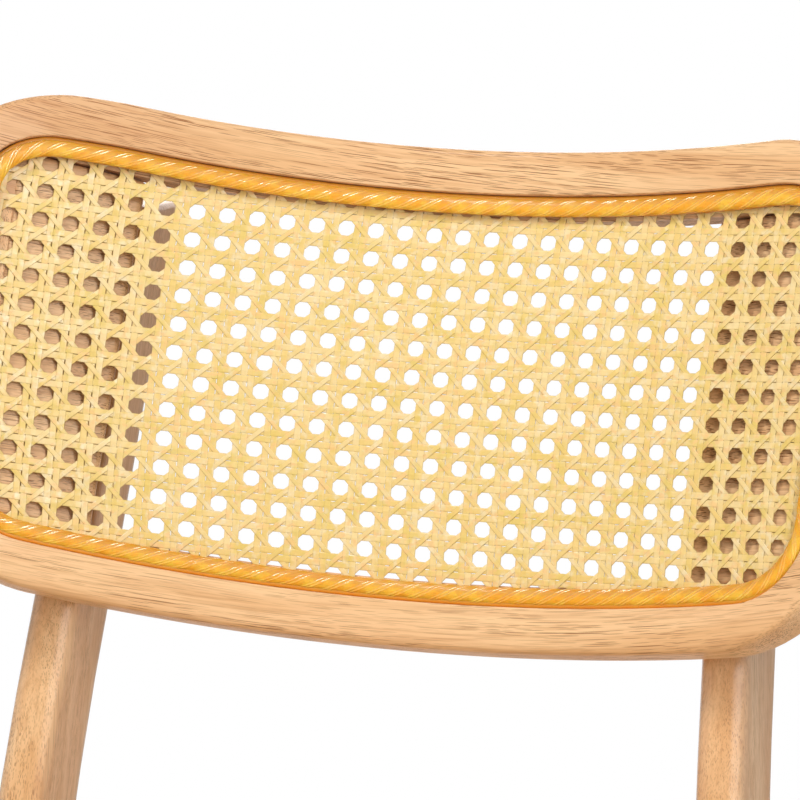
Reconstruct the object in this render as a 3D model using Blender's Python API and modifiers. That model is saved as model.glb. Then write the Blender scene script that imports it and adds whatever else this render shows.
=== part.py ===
# Rattan dining chair.
# A curved back frame holds a sheet of pierced cane behind a twisted cord, on two posts that run
# down as the rear legs. A cane seat in a wooden frame lies on four aprons between the legs.
# Metres, +Z up. The chair faces -Y, and its origin is on the floor under the middle of it.

import math

import bmesh
import bpy
from mathutils import Matrix, Vector

# Fits
fit_gap = 0.0003
weld_distance = 0.00002
cut_overrun = 0.010

# Back frame, measured along its curve
back_width = 0.424
back_height = 0.218
back_radius = 0.420
back_dip = 0.0129
back_level_share = 0.3
back_recline = 16.0
back_thickness = 0.020
back_centre_height = 0.696
back_rim_width = 0.0195
back_corner_radius = 0.059
back_pocket_radius = 0.033
back_edge_radius = 0.003
back_member_length = 0.104
back_slice_length = 0.0165

# Mounting boards behind the cane
board_top_width = 0.0580
board_bottom_width = 0.0535
board_thickness = 0.022
board_depth = 0.0090
board_tangent_place = 0.184
board_edge_radius = 0.002

# Cane and cord, back and seat
land_width = 0.0100
rebate_depth = 0.008
cane_thickness = 0.0016
cane_pitch = 0.0127
cane_hole_width = 0.0064
cane_columns = 21
cane_rows = 12
cane_drop = 0.00225
seat_cane_pitch = 0.0330
seat_cane_hole_width = 0.0190
seat_cane_columns = 12
seat_cane_rows = 10
cord_diameter = 0.0084

# Seat
seat_height = 0.455
seat_front_width = 0.455
seat_rear_width = 0.326
seat_depth = 0.455
seat_tongue = 0.024
seat_thickness = 0.024
seat_rim_width = 0.048
seat_corner_radius = 0.040
seat_rear_corner_radius = 0.004
seat_pocket_radius = 0.030
seat_edge_radius = 0.003
seat_joint_setback = 0.0045

# Rear legs, which are also the back's posts
rear_leg_width = 0.0206
rear_leg_low_radius = 0.003
rear_leg_back_radius = 0.005
rear_leg_foot_depth = 0.030
rear_leg_knee_depth = 0.060
rear_leg_back_depth = 0.058
rear_leg_top_depth = 0.048
rear_leg_setback = 0.025
rear_leg_spread = 0.1497
rear_leg_top = 0.070
rear_leg_splay = 3.7
rear_leg_turn = 1.7
knee_height = 0.400
post_face = 0.0050

# Front legs
front_leg_top_width = 0.034
front_leg_foot_width = 0.024
front_leg_radius = 0.006
front_leg_inset = 0.0098
front_leg_splay = 3.0
front_leg_rake = 0.8
end_chamfer = 0.002

# Aprons and their tenons
apron_height = 0.050
apron_thickness = 0.016
rear_apron_setback = 0.003
tenon_thickness = 0.008
tenon_height = 0.030
front_tenon_stop = 0.006
rear_tenon_stop = 0.0055
side_tenon_stop = 0.012

# Corner blocks
block_leg = 0.055
block_height = 0.025
block_screw_along = 0.020
block_screw_bite = 0.012
seat_screw_along = 0.034
seat_screw_inward = 0.013

# Fasteners, dowels and glides
screw_radius = 0.0020
screw_head_radius = 0.0040
screw_head_height = 0.0024
back_screw_point = -0.007
back_screw_spacing = 0.100
plug_radius = 0.0050
plug_length = 0.006
block_screw_length = 0.024
seat_screw_length = 0.036
back_dowel_radius = 0.0030
seat_dowel_radius = 0.0040
dowel_length = 0.030
glide_radius = 0.0090
glide_height = 0.003
glide_nail_radius = 0.0012
glide_nail_length = 0.014

# Mesh steps
corner_steps = 6
edge_steps = 2
round_sides = 12
leg_corner_steps = 2
leg_lower_steps = 8
leg_knee_steps = 5
leg_upper_steps = 6
flat_angle = 1.0
sharp_angle = 60.0
smooth_angle = 35.0

# Derived places
recline = math.radians(back_recline)
half_back_width = back_width / 2
half_back_height = back_height / 2
rear_splay_slope = math.tan(math.radians(rear_leg_splay))
front_splay_slope = math.tan(math.radians(front_leg_splay))
front_rake_slope = math.tan(math.radians(front_leg_rake))

# The posts' uncut front line meets the level of the back frame's lower edge here
post_foot_height = (
    back_centre_height
    - post_face * math.sin(recline)
    - half_back_height * math.cos(recline)
)
knee_to_post = post_foot_height - knee_height
post_rise = math.tan(recline) * knee_to_post / 2

# Distances behind the knee, which then centre the chair front to back
back_behind_knee = post_rise - post_face * math.cos(recline) + half_back_height * math.sin(recline)
post_top = back_centre_height - post_face * math.sin(recline) + rear_leg_top * math.cos(recline)
post_top_rise = post_rise + (post_top - end_chamfer - post_foot_height) * math.tan(recline)
rear_reach = post_top_rise + rear_leg_top_depth - back_behind_knee
knee_place = -(seat_tongue - seat_depth + back_behind_knee + rear_reach) / 2
back_place = knee_place + back_behind_knee
seat_rear_place = knee_place + seat_tongue
seat_front_place = seat_rear_place - seat_depth

seat_underside = seat_height - seat_thickness
apron_top = seat_underside - fit_gap
apron_middle = apron_top - apron_height / 2
leg_bottom = glide_height + fit_gap


# Scene, collections and materials

for old_object in list(bpy.data.objects):
    bpy.data.objects.remove(old_object, do_unlink=True)

parts = bpy.data.collections.new("rattan_dining_chair")
cutters = bpy.data.collections.new("cutters")
bpy.context.scene.collection.children.link(parts)
bpy.context.scene.collection.children.link(cutters)


def make_material(name, colour, roughness, metallic):
    material = bpy.data.materials.new(name)
    material.use_nodes = True
    shader = material.node_tree.nodes["Principled BSDF"]
    shader.inputs["Base Color"].default_value = (*colour, 1)
    shader.inputs["Roughness"].default_value = roughness
    shader.inputs["Metallic"].default_value = metallic
    return material


wood = make_material("oiled_rubberwood", (0.76, 0.50, 0.30), 0.38, 0)
dowel_wood = make_material("dowel_beech", (0.72, 0.53, 0.36), 0.6, 0)
cane = make_material("woven_cane", (0.90, 0.72, 0.36), 0.35, 0)
cord = make_material("amber_cord", (0.85, 0.48, 0.08), 0.25, 0)
steel = make_material("zinc_steel", (0.62, 0.62, 0.60), 0.3, 1)
glide_plastic = make_material("glide_plastic", (0.12, 0.09, 0.07), 0.5, 0)


# Shared tools


def add_mesh_object(name, mesh_tool, collection, material=None):
    mesh = bpy.data.meshes.new(name)
    mesh_tool.to_mesh(mesh)
    mesh_tool.free()
    made = bpy.data.objects.new(name, mesh)
    collection.objects.link(made)
    if material:
        mesh.materials.append(material)
    if collection == cutters:
        made.hide_render = True
        made.display_type = "WIRE"
    return made


def combine(target, other, operation):
    modifier = target.modifiers.new(other.name, "BOOLEAN")
    modifier.operation = operation
    modifier.object = other
    modifier.solver = "EXACT"


def baked(source):
    """The source's evaluated mesh as a bmesh, with the source removed."""
    bpy.context.view_layer.update()
    graph = bpy.context.evaluated_depsgraph_get()
    mesh = bpy.data.meshes.new_from_object(source.evaluated_get(graph))
    tool = bmesh.new()
    tool.from_mesh(mesh)
    bpy.data.meshes.remove(mesh)
    bpy.data.objects.remove(source, do_unlink=True)
    return tool


def box_tool(low, high):
    tool = bmesh.new()
    bmesh.ops.create_cube(tool, size=1)
    centre = (Vector(low) + Vector(high)) / 2
    span = Vector(high) - Vector(low)
    bmesh.ops.scale(tool, vec=span, verts=tool.verts)
    bmesh.ops.translate(tool, vec=centre, verts=tool.verts)
    return tool


def cylinder_tool(radius, length, sides=round_sides):
    """A cylinder that runs from the origin up +Z."""
    tool = bmesh.new()
    bmesh.ops.create_cone(
        tool, cap_ends=True, segments=sides, radius1=radius, radius2=radius, depth=length
    )
    bmesh.ops.translate(tool, vec=(0, 0, length / 2), verts=tool.verts)
    return tool


def rounded_outline(corners, radii, steps=corner_steps):
    """Points round a polygon given anticlockwise, each corner turned to an arc."""
    points = []
    count = len(corners)
    for index in range(count):
        corner = Vector(corners[index])
        back = (Vector(corners[index - 1]) - corner).normalized()
        ahead = (Vector(corners[(index + 1) % count]) - corner).normalized()
        radius = radii[index]
        if radius == 0:
            points.append(corner)
            continue
        half_angle = back.angle(ahead) / 2
        bisector = (back + ahead).normalized()
        centre = corner + bisector * radius / math.sin(half_angle)
        start = corner + back * radius / math.tan(half_angle) - centre
        turn = math.pi - 2 * half_angle
        for step in range(steps + 1):
            points.append(centre + Matrix.Rotation(turn * step / steps, 2) @ start)
    return points


def plate_tool(outline, thickness):
    """A flat outline extruded down from z = 0, as a welded bmesh."""
    curve = bpy.data.curves.new("plate_outline", "CURVE")
    curve.dimensions = "2D"
    curve.fill_mode = "BOTH"
    curve.extrude = thickness / 2
    spline = curve.splines.new("POLY")
    spline.points.add(len(outline) - 1)
    for point, place in zip(spline.points, outline):
        point.co = (place[0], place[1], 0, 1)
    spline.use_cyclic_u = True
    holder = bpy.data.objects.new("plate_outline", curve)
    cutters.objects.link(holder)
    tool = baked(holder)
    bpy.data.curves.remove(curve)
    bmesh.ops.translate(tool, vec=(0, 0, -thickness / 2), verts=tool.verts)
    bmesh.ops.remove_doubles(tool, verts=tool.verts, dist=weld_distance)
    merge_flat_faces(tool)
    return tool


def merge_flat_faces(tool):
    bmesh.ops.dissolve_limit(
        tool, angle_limit=math.radians(flat_angle), verts=tool.verts, edges=tool.edges
    )
    bmesh.ops.recalc_face_normals(tool, faces=tool.faces)


def round_sharp_edges(tool, radius):
    sharp = [edge for edge in tool.edges if edge.calc_face_angle(0) > math.radians(sharp_angle)]
    bmesh.ops.bevel(
        tool, geom=sharp, offset=radius, segments=edge_steps, profile=0.5, affect="EDGES"
    )


def loft_tool(rings):
    """A closed solid through rings of as many points each, from the lowest up."""
    tool = bmesh.new()
    layers = [[tool.verts.new(point) for point in ring] for ring in rings]
    count = len(layers[0])
    for lower, upper in zip(layers, layers[1:]):
        for index in range(count):
            following = (index + 1) % count
            tool.faces.new((lower[index], lower[following], upper[following], upper[index]))
    tool.faces.new(list(reversed(layers[0])))
    tool.faces.new(layers[-1])
    return tool


def round_ring(radius, height):
    points = []
    for index in range(round_sides):
        angle = 2 * math.pi * index / round_sides
        points.append((radius * math.cos(angle), radius * math.sin(angle), height))
    return points


def rounded_rectangle(low_x, high_x, low_y, high_y, radius, height):
    corners = [(low_x, low_y), (high_x, low_y), (high_x, high_y), (low_x, high_y)]
    outline = rounded_outline(corners, [radius] * len(corners), leg_corner_steps)
    return [(point.x, point.y, height) for point in outline]


def turned_object(name, profile, material):
    """A solid of revolution about Z, from (radius, height) points, top to bottom."""
    mesh = bpy.data.meshes.new(name)
    points = [(radius, 0, height) for radius, height in profile]
    edges = [(index, index + 1) for index in range(len(profile) - 1)]
    mesh.from_pydata(points, edges, [])
    mesh.materials.append(material)
    made = bpy.data.objects.new(name, mesh)
    parts.objects.link(made)
    screw = made.modifiers.new("turn", "SCREW")
    screw.steps = round_sides
    screw.render_steps = round_sides
    screw.use_merge_vertices = True
    screw.merge_threshold = weld_distance
    screw.use_smooth_shade = True
    return made


def aim(target, start, direction):
    """Puts an object's origin at start with its +Z along direction."""
    target.location = start
    target.rotation_euler = Vector(direction).to_track_quat("Z", "Y").to_euler()


def bore(targets, name, radius, start, direction, length, parent=None):
    """Drills the same round hole in each target, from start along direction."""
    drill = add_mesh_object(name, cylinder_tool(radius, length), cutters)
    aim(drill, start, direction)
    drill.parent = parent
    for target in targets:
        combine(target, drill, "DIFFERENCE")
    return drill


def ring_blank(name, blank_outline, pocket_outline, opening_outline, thickness, edge_radius):
    """A flat ring machined face up: rounded edges, a shallow pocket, then an opening."""
    blank = plate_tool(blank_outline, thickness)
    round_sharp_edges(blank, edge_radius)
    ring = add_mesh_object(name, blank, cutters)
    pocket_tool = plate_tool(pocket_outline, rebate_depth + cut_overrun)
    bmesh.ops.translate(pocket_tool, vec=(0, 0, cut_overrun), verts=pocket_tool.verts)
    pocket = add_mesh_object(f"{name}_pocket", pocket_tool, cutters)
    opening_tool = plate_tool(opening_outline, thickness + 2 * cut_overrun)
    bmesh.ops.translate(opening_tool, vec=(0, 0, cut_overrun), verts=opening_tool.verts)
    opening = add_mesh_object(f"{name}_opening", opening_tool, cutters)
    combine(ring, pocket, "DIFFERENCE")
    combine(ring, opening, "DIFFERENCE")
    machined = baked(ring)
    bpy.data.objects.remove(pocket, do_unlink=True)
    bpy.data.objects.remove(opening, do_unlink=True)
    return add_mesh_object(name, machined, cutters)


def cut_member(ring, low, high):
    """The part of a flat ring that lies inside a box, as a bmesh."""
    piece = ring.copy()
    piece.data = ring.data.copy()
    cutters.objects.link(piece)
    keeper = add_mesh_object("keeper", box_tool(low, high), cutters)
    combine(piece, keeper, "INTERSECT")
    member = baked(piece)
    bpy.data.objects.remove(keeper, do_unlink=True)
    merge_flat_faces(member)
    return member


# Back frame

back = bpy.data.objects.new("back_frame_place", None)
parts.objects.link(back)
back.location = (0, back_place, back_centre_height)
back.rotation_euler = (-recline, 0, 0)


def bent(across, up, depth):
    """A place on the curved back, from its distance along the curve and its depth."""
    angle = across / back_radius
    reach = back_radius + depth
    return Vector((reach * math.sin(angle), reach * math.cos(angle) - back_radius, up))


def dip(across):
    """How far the back frame rises towards its ends, or hangs in its middle."""
    return back_dip * ((across / half_back_width) ** 2 - back_level_share)


def bend(tool):
    """Slices flat work across, then dips it and wraps it round the back's curve."""
    slice_count = math.ceil(back_width / back_slice_length)
    for index in range(1, slice_count):
        across = -half_back_width + back_width * index / slice_count
        bmesh.ops.bisect_plane(
            tool,
            geom=tool.verts[:] + tool.edges[:] + tool.faces[:],
            dist=weld_distance,
            plane_co=(across, 0, 0),
            plane_no=(1, 0, 0),
        )
    for vert in tool.verts:
        vert.co = bent(vert.co.x, vert.co.y + dip(vert.co.x), -vert.co.z)


def centred_corners(half_width, half_height):
    return [
        (-half_width, -half_height),
        (half_width, -half_height),
        (half_width, half_height),
        (-half_width, half_height),
    ]


def back_outline(inset, radius):
    corners = centred_corners(half_back_width - inset, half_back_height - inset)
    return rounded_outline(corners, [radius] * len(corners))


def build_back_members():
    ring = ring_blank(
        "back_ring",
        back_outline(0, back_corner_radius),
        back_outline(back_rim_width, back_pocket_radius),
        back_outline(back_rim_width + land_width, 0),
        back_thickness,
        back_edge_radius,
    )
    joint = back_member_length / 2
    reach_x = half_back_width + cut_overrun
    reach_y = half_back_height + cut_overrun
    under = -back_thickness - cut_overrun
    boxes = {
        "back_top_rail": ((-reach_x, joint + fit_gap / 2, under), (reach_x, reach_y, cut_overrun)),
        "back_bottom_rail": (
            (-reach_x, -reach_y, under),
            (reach_x, -joint - fit_gap / 2, cut_overrun),
        ),
        "back_side_member_left": (
            (-reach_x, -joint + fit_gap / 2, under),
            (0, joint - fit_gap / 2, cut_overrun),
        ),
        "back_side_member_right": (
            (0, -joint + fit_gap / 2, under),
            (reach_x, joint - fit_gap / 2, cut_overrun),
        ),
    }
    members = {}
    for name, (low, high) in boxes.items():
        member = cut_member(ring, low, high)
        bend(member)
        members[name] = add_mesh_object(name, member, parts, wood)
        members[name].parent = back
    bpy.data.objects.remove(ring, do_unlink=True)
    return members


def board_tool(side, extra):
    """A mounting board in its own tangent frame, its ends dipped like the rails it fits."""
    outer = half_back_width - back_rim_width - land_width - fit_gap - board_tangent_place
    half_height = half_back_height - back_rim_width - land_width - fit_gap * 2
    corners = [
        (outer + extra, -half_height - extra),
        (outer + extra, half_height + extra),
        (outer - board_top_width - extra, half_height + extra),
        (outer - board_bottom_width - extra, -half_height - extra),
    ]
    front = board_depth - extra
    rear = board_depth + board_thickness + extra
    rings = []
    for depth in (front, rear):
        ring = []
        for across, up in corners:
            level = up + dip(board_tangent_place + across)
            ring.append((side * across, depth, level))
        rings.append(ring)
    tool = loft_tool(rings)
    bmesh.ops.recalc_face_normals(tool, faces=tool.faces)
    return tool


def place_board(board, side):
    angle = side * board_tangent_place / back_radius
    board.location = bent(side * board_tangent_place, 0, 0)
    board.rotation_euler = (0, 0, -angle)
    board.parent = back


def build_board(side, suffix):
    tool = board_tool(side, 0)
    round_sharp_edges(tool, board_edge_radius)
    board = add_mesh_object(f"back_mounting_board_{suffix}", tool, parts, wood)
    place_board(board, side)
    return board


def build_back_dowels(members):
    """Upright dowels in the rim, across the joints of rails and side members."""
    rim_middle = half_back_width - back_rim_width / 2
    joint = back_member_length / 2
    for side, side_name in ((-1, "left"), (1, "right")):
        for level, level_name, rail in ((1, "upper", "top"), (-1, "lower", "bottom")):
            low = level * joint + dip(rim_middle) - dowel_length / 2
            start = bent(side * rim_middle, low, back_thickness / 2)
            name = f"back_dowel_{level_name}_{side_name}"
            hole_start = start - Vector((0, 0, fit_gap))
            bore(
                (members[f"back_{rail}_rail"], members[f"back_side_member_{side_name}"]),
                f"{name}_hole",
                back_dowel_radius + fit_gap,
                hole_start,
                (0, 0, 1),
                dowel_length + 2 * fit_gap,
                back,
            )
            dowel = add_mesh_object(
                name, cylinder_tool(back_dowel_radius, dowel_length), parts, dowel_wood
            )
            dowel.location = start
            dowel.parent = back


def corner_line(across, radius, half_width, half_height):
    """How high a rounded rectangle's edge stands at a place across it."""
    straight = half_width - radius
    beyond = max(abs(across) - straight, 0)
    return half_height - radius + math.sqrt(max(radius**2 - beyond**2, 0))


def build_back_cane():
    """A curved sheet whose middle is pierced by the cane's pitch, up to the boards."""
    sheet_width = half_back_width - back_rim_width - fit_gap
    sheet_height = half_back_height - back_rim_width - fit_gap
    radius = back_pocket_radius - fit_gap
    pierced_width = cane_columns * cane_pitch / 2
    columns = [index * cane_pitch - pierced_width for index in range(cane_columns + 1)]
    straight = sheet_width - radius
    margin = []
    for step in range(corner_steps + 1):
        margin.append(straight + radius * math.sin(math.pi / 2 * step / corner_steps))
    columns = [-place for place in reversed(margin)] + columns + margin
    pierced_height = cane_rows * cane_pitch / 2
    rows = []
    for index in range(cane_rows + 1):
        rows.append(index * cane_pitch - pierced_height - cane_drop)
    rows = [-sheet_height] + rows + [sheet_height]

    tool = bmesh.new()
    grid = []
    for across in columns:
        share = corner_line(across, radius, sheet_width, sheet_height) / sheet_height
        in_margin = abs(across) > pierced_width + weld_distance
        column = []
        for up in rows:
            dipped = in_margin or abs(up) == sheet_height
            level = up * share + (dip(across) if dipped else 0)
            column.append(tool.verts.new(bent(across, level, rebate_depth - fit_gap)))
        grid.append(column)
    cells = []
    first_pierced = len(margin)
    for column in range(len(columns) - 1):
        for row in range(len(rows) - 1):
            face = tool.faces.new(
                (
                    grid[column][row],
                    grid[column + 1][row],
                    grid[column + 1][row + 1],
                    grid[column][row + 1],
                )
            )
            in_columns = first_pierced <= column < first_pierced + cane_columns
            if in_columns and 1 <= row <= cane_rows:
                cells.append(face)
    tool.normal_update()
    strip_width = (cane_pitch - cane_hole_width) / 2
    bmesh.ops.inset_individual(tool, faces=cells, thickness=strip_width)
    bmesh.ops.delete(tool, geom=cells, context="FACES_ONLY")
    sheet = add_mesh_object("back_cane", tool, parts, cane)
    solidify = sheet.modifiers.new("thickness", "SOLIDIFY")
    solidify.thickness = cane_thickness
    solidify.offset = 1
    sheet.parent = back
    return sheet


def add_cord(name, points):
    curve = bpy.data.curves.new(name, "CURVE")
    curve.dimensions = "3D"
    curve.bevel_depth = cord_diameter / 2
    curve.bevel_resolution = edge_steps
    curve.use_fill_caps = True
    spline = curve.splines.new("POLY")
    spline.points.add(len(points) - 1)
    for point, place in zip(spline.points, points):
        point.co = (*place, 1)
    spline.use_cyclic_u = True
    curve.materials.append(cord)
    made = bpy.data.objects.new(name, curve)
    parts.objects.link(made)
    return made


def cord_depth():
    """The cord's middle, below the rim's face."""
    return rebate_depth - fit_gap - cane_thickness - fit_gap - cord_diameter / 2


def split_runs(outline, longest):
    """Adds points along an outline's long straight runs."""
    points = []
    for index, start in enumerate(outline):
        end = outline[(index + 1) % len(outline)]
        pieces = max(math.ceil((end - start).length / longest), 1)
        for piece in range(pieces):
            points.append(start.lerp(end, piece / pieces))
    return points


def build_back_cord():
    inset = back_rim_width + fit_gap + cord_diameter / 2
    radius = back_pocket_radius - fit_gap - cord_diameter / 2
    flat = split_runs(back_outline(inset, radius), back_slice_length)
    line = [bent(point.x, point.y + dip(point.x), cord_depth()) for point in flat]
    made = add_cord("back_cord", line)
    made.parent = back


# Rear legs


def post_front(height):
    """The rear legs' front line: a sabre curve to the knee, then up into the recline."""
    if height < knee_height:
        return knee_place + rear_leg_setback * (1 - height / knee_height) ** 2
    above = min((height - knee_height) / knee_to_post, 1)
    start = knee_place + post_rise * above**2
    return start + max(height - post_foot_height, 0) * math.tan(recline)


def eased(share):
    return share * share * (3 - 2 * share)


def post_depth(height):
    if height < knee_height:
        share = eased(height / knee_height)
        return rear_leg_foot_depth + (rear_leg_knee_depth - rear_leg_foot_depth) * share
    if height < post_foot_height:
        share = eased((height - knee_height) / knee_to_post)
        return rear_leg_knee_depth + (rear_leg_back_depth - rear_leg_knee_depth) * share
    share = min((height - post_foot_height) / (post_top - post_foot_height), 1)
    return rear_leg_back_depth + (rear_leg_top_depth - rear_leg_back_depth) * eased(share)


def post_radius(height):
    share = min(max((height - knee_height) / knee_to_post, 0), 1)
    return rear_leg_low_radius + (rear_leg_back_radius - rear_leg_low_radius) * share


def post_middle(side, height):
    return side * (rear_leg_spread + (post_foot_height - height) * rear_splay_slope)


def steps_between(low, high, count):
    return [low + (high - low) * index / count for index in range(count)]


def rear_leg_heights():
    heights = [leg_bottom]
    heights += steps_between(leg_bottom + end_chamfer, knee_height, leg_lower_steps)
    heights += steps_between(knee_height, post_foot_height, leg_knee_steps)
    heights += steps_between(post_foot_height, post_top - end_chamfer, leg_upper_steps)
    return heights + [post_top - end_chamfer, post_top]


def turned_ring(ring, across, along, angle):
    """A level ring of points, turned about an upright line."""
    turn = Matrix.Rotation(angle, 2)
    centre = Vector((across, along))
    points = []
    for x, y, height in ring:
        point = centre + turn @ (Vector((x, y)) - centre)
        points.append((point.x, point.y, height))
    return points


def rear_leg_tool(side, extra):
    """A rear leg, turned a little towards the middle as the back's curve is."""
    heights = rear_leg_heights()
    angle = -side * math.radians(rear_leg_turn)
    rings = []
    for index, height in enumerate(heights):
        at_end = index in (0, len(heights) - 1)
        shrink = end_chamfer if at_end and not extra else 0
        half = rear_leg_width / 2 + extra - shrink
        middle = post_middle(side, height)
        front = post_front(height) - extra + shrink
        rear = post_front(height) + post_depth(height) + extra - shrink
        radius = post_radius(height) + extra - shrink
        ring = rounded_rectangle(middle - half, middle + half, front, rear, radius, height)
        rings.append(turned_ring(ring, middle, (front + rear) / 2, angle))
    return loft_tool(rings)


def build_rear_leg(side, suffix):
    leg = add_mesh_object(f"rear_leg_{suffix}", rear_leg_tool(side, 0), parts, wood)
    clearance = add_mesh_object(f"board_clearance_{suffix}", board_tool(side, fit_gap), cutters)
    place_board(clearance, side)
    combine(leg, clearance, "DIFFERENCE")
    return leg


# Front legs

front_leg_place = seat_front_place + front_leg_inset + front_leg_top_width / 2


def seat_half_width(place):
    """Half the seat's width at a place along its depth."""
    share = (seat_rear_place - place) / seat_depth
    return (seat_rear_width + (seat_front_width - seat_rear_width) * share) / 2


def front_leg_middle(side, height):
    top = seat_half_width(front_leg_place) - front_leg_inset - front_leg_top_width / 2
    across = side * (top + (apron_top - height) * front_splay_slope)
    return across, front_leg_place - (apron_top - height) * front_rake_slope


def front_leg_tool(side, extra):
    top = apron_top + cut_overrun if extra else apron_top
    heights = [leg_bottom, leg_bottom + end_chamfer, knee_height / 2, top]
    rings = []
    for index, height in enumerate(heights):
        shrink = end_chamfer if index == 0 and not extra else 0
        share = (height - leg_bottom) / (apron_top - leg_bottom)
        width = front_leg_foot_width + (front_leg_top_width - front_leg_foot_width) * share
        half = width / 2 + extra - shrink
        across, along = front_leg_middle(side, height)
        radius = front_leg_radius + extra - shrink
        rings.append(
            rounded_rectangle(across - half, across + half, along - half, along + half, radius, height)
        )
    return loft_tool(rings)


def build_front_leg(side, suffix):
    return add_mesh_object(f"front_leg_{suffix}", front_leg_tool(side, 0), parts, wood)


# Aprons


def bar_tool(start, end, thickness, low, high):
    """An upright bar from one plan point to another, between two heights."""
    run = end - start
    tool = box_tool((0, -thickness / 2, low), (run.length, thickness / 2, high))
    angle = math.atan2(run.y, run.x)
    bmesh.ops.rotate(tool, cent=(0, 0, 0), matrix=Matrix.Rotation(angle, 3, "Z"), verts=tool.verts)
    bmesh.ops.translate(tool, vec=(start.x, start.y, 0), verts=tool.verts)
    return tool


def rear_leg_plan(side):
    along = post_front(apron_middle)
    return Vector((post_middle(side, apron_middle), along + post_depth(apron_middle) / 2))


def front_leg_plan(side):
    return Vector(front_leg_middle(side, apron_middle))


def build_apron(name, start, end, stops, legs, leg_cutters):
    """An apron between two legs, shouldered to them, with one tenon bar through its length."""
    apron_low = apron_top - apron_height
    apron = add_mesh_object(
        name, bar_tool(start, end, apron_thickness, apron_low, apron_top), parts, wood
    )
    run = (end - start).normalized()
    tenon_start = start + run * stops[0]
    tenon_end = end - run * stops[1]
    tenon_low = apron_middle - tenon_height / 2
    tenon_high = apron_middle + tenon_height / 2
    tenon = add_mesh_object(
        f"{name}_tenon",
        bar_tool(tenon_start, tenon_end, tenon_thickness, tenon_low, tenon_high),
        cutters,
    )
    mortise = add_mesh_object(
        f"{name}_mortise",
        bar_tool(
            tenon_start - run * fit_gap,
            tenon_end + run * fit_gap,
            tenon_thickness + 2 * fit_gap,
            tenon_low - fit_gap,
            tenon_high + fit_gap,
        ),
        cutters,
    )
    for cutter in leg_cutters:
        combine(apron, cutter, "DIFFERENCE")
    combine(apron, tenon, "UNION")
    for leg in legs:
        combine(leg, mortise, "DIFFERENCE")
    return apron


def build_aprons(legs, leg_cutters):
    rear_left = Vector((rear_leg_plan(-1).x, rear_apron_line()))
    rear_right = Vector((rear_leg_plan(1).x, rear_apron_line()))
    aprons = {
        "front": build_apron(
            "apron_front",
            front_leg_plan(-1),
            front_leg_plan(1),
            (front_tenon_stop, front_tenon_stop),
            (legs["front_left"], legs["front_right"]),
            (leg_cutters["front_left"], leg_cutters["front_right"]),
        ),
        "rear": build_apron(
            "apron_rear",
            rear_left,
            rear_right,
            (rear_tenon_stop, rear_tenon_stop),
            (legs["rear_left"], legs["rear_right"]),
            (leg_cutters["rear_left"], leg_cutters["rear_right"]),
        ),
    }
    for side, suffix in ((-1, "left"), (1, "right")):
        aprons[suffix] = build_apron(
            f"apron_{suffix}",
            rear_leg_plan(side),
            front_leg_plan(side),
            (side_tenon_stop, front_tenon_stop),
            (legs[f"rear_{suffix}"], legs[f"front_{suffix}"]),
            (leg_cutters[f"rear_{suffix}"], leg_cutters[f"front_{suffix}"]),
        )
    return aprons


# Corner blocks


def line_meeting(point_a, run_a, point_b, run_b):
    """Where two plan lines cross."""
    gap = point_b - point_a
    share = (gap.x * run_b.y - gap.y * run_b.x) / (run_a.x * run_b.y - run_a.y * run_b.x)
    return point_a + run_a * share


def inner_offset(run, towards):
    """A step square to a line, towards the seat's middle, that clears an apron's face."""
    normal = Vector((-run.y, run.x))
    if normal.dot(towards) < 0:
        normal = -normal
    return normal * (apron_thickness / 2 + fit_gap)


def rear_apron_line():
    return post_front(apron_middle) + rear_apron_setback + apron_thickness / 2


def build_corner_block(name, side, end, leg_cutter, apron, seat_member):
    """A triangular block in the corner of two aprons, under the seat frame."""
    rear = end == "rear"
    leg_plan = rear_leg_plan(side) if rear else front_leg_plan(side)
    cross_line = rear_apron_line() if rear else leg_plan.y
    cross_run = Vector((-side, 0))
    side_run = (front_leg_plan(side) - rear_leg_plan(side)).normalized()
    if not rear:
        side_run = -side_run
    towards = Vector((-side, -1 if rear else 1))
    cross_point = Vector((leg_plan.x, cross_line)) + inner_offset(cross_run, towards)
    side_point = leg_plan + inner_offset(side_run, towards)
    corner = line_meeting(cross_point, cross_run, side_point, side_run)
    outline = [corner, corner + cross_run * block_leg, corner + side_run * block_leg]
    tool = plate_tool(outline, block_height)
    bmesh.ops.translate(tool, vec=(0, 0, apron_top), verts=tool.verts)
    block = add_mesh_object(name, tool, parts, wood)
    combine(block, leg_cutter, "DIFFERENCE")

    inward = Vector((0, side_run.y)).normalized()
    head = corner + cross_run * block_screw_along + inward * block_screw_bite
    head_place = Vector((head.x, head.y, apron_top - block_height / 2))
    screw_name = name.replace("corner_block", "block_screw")
    add_screw(screw_name, head_place, (0, -inward.y, 0), block_screw_length, (block, apron))
    counterbore(block, screw_name, head_place, (0, inward.y, 0))

    point = corner + cross_run * seat_screw_along + inward * seat_screw_inward
    add_screw(
        name.replace("corner_block", "seat_screw"),
        Vector((point.x, point.y, apron_top - block_height)),
        (0, 0, 1),
        seat_screw_length,
        (block, seat_member),
    )


# Screws, plugs and glides


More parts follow.
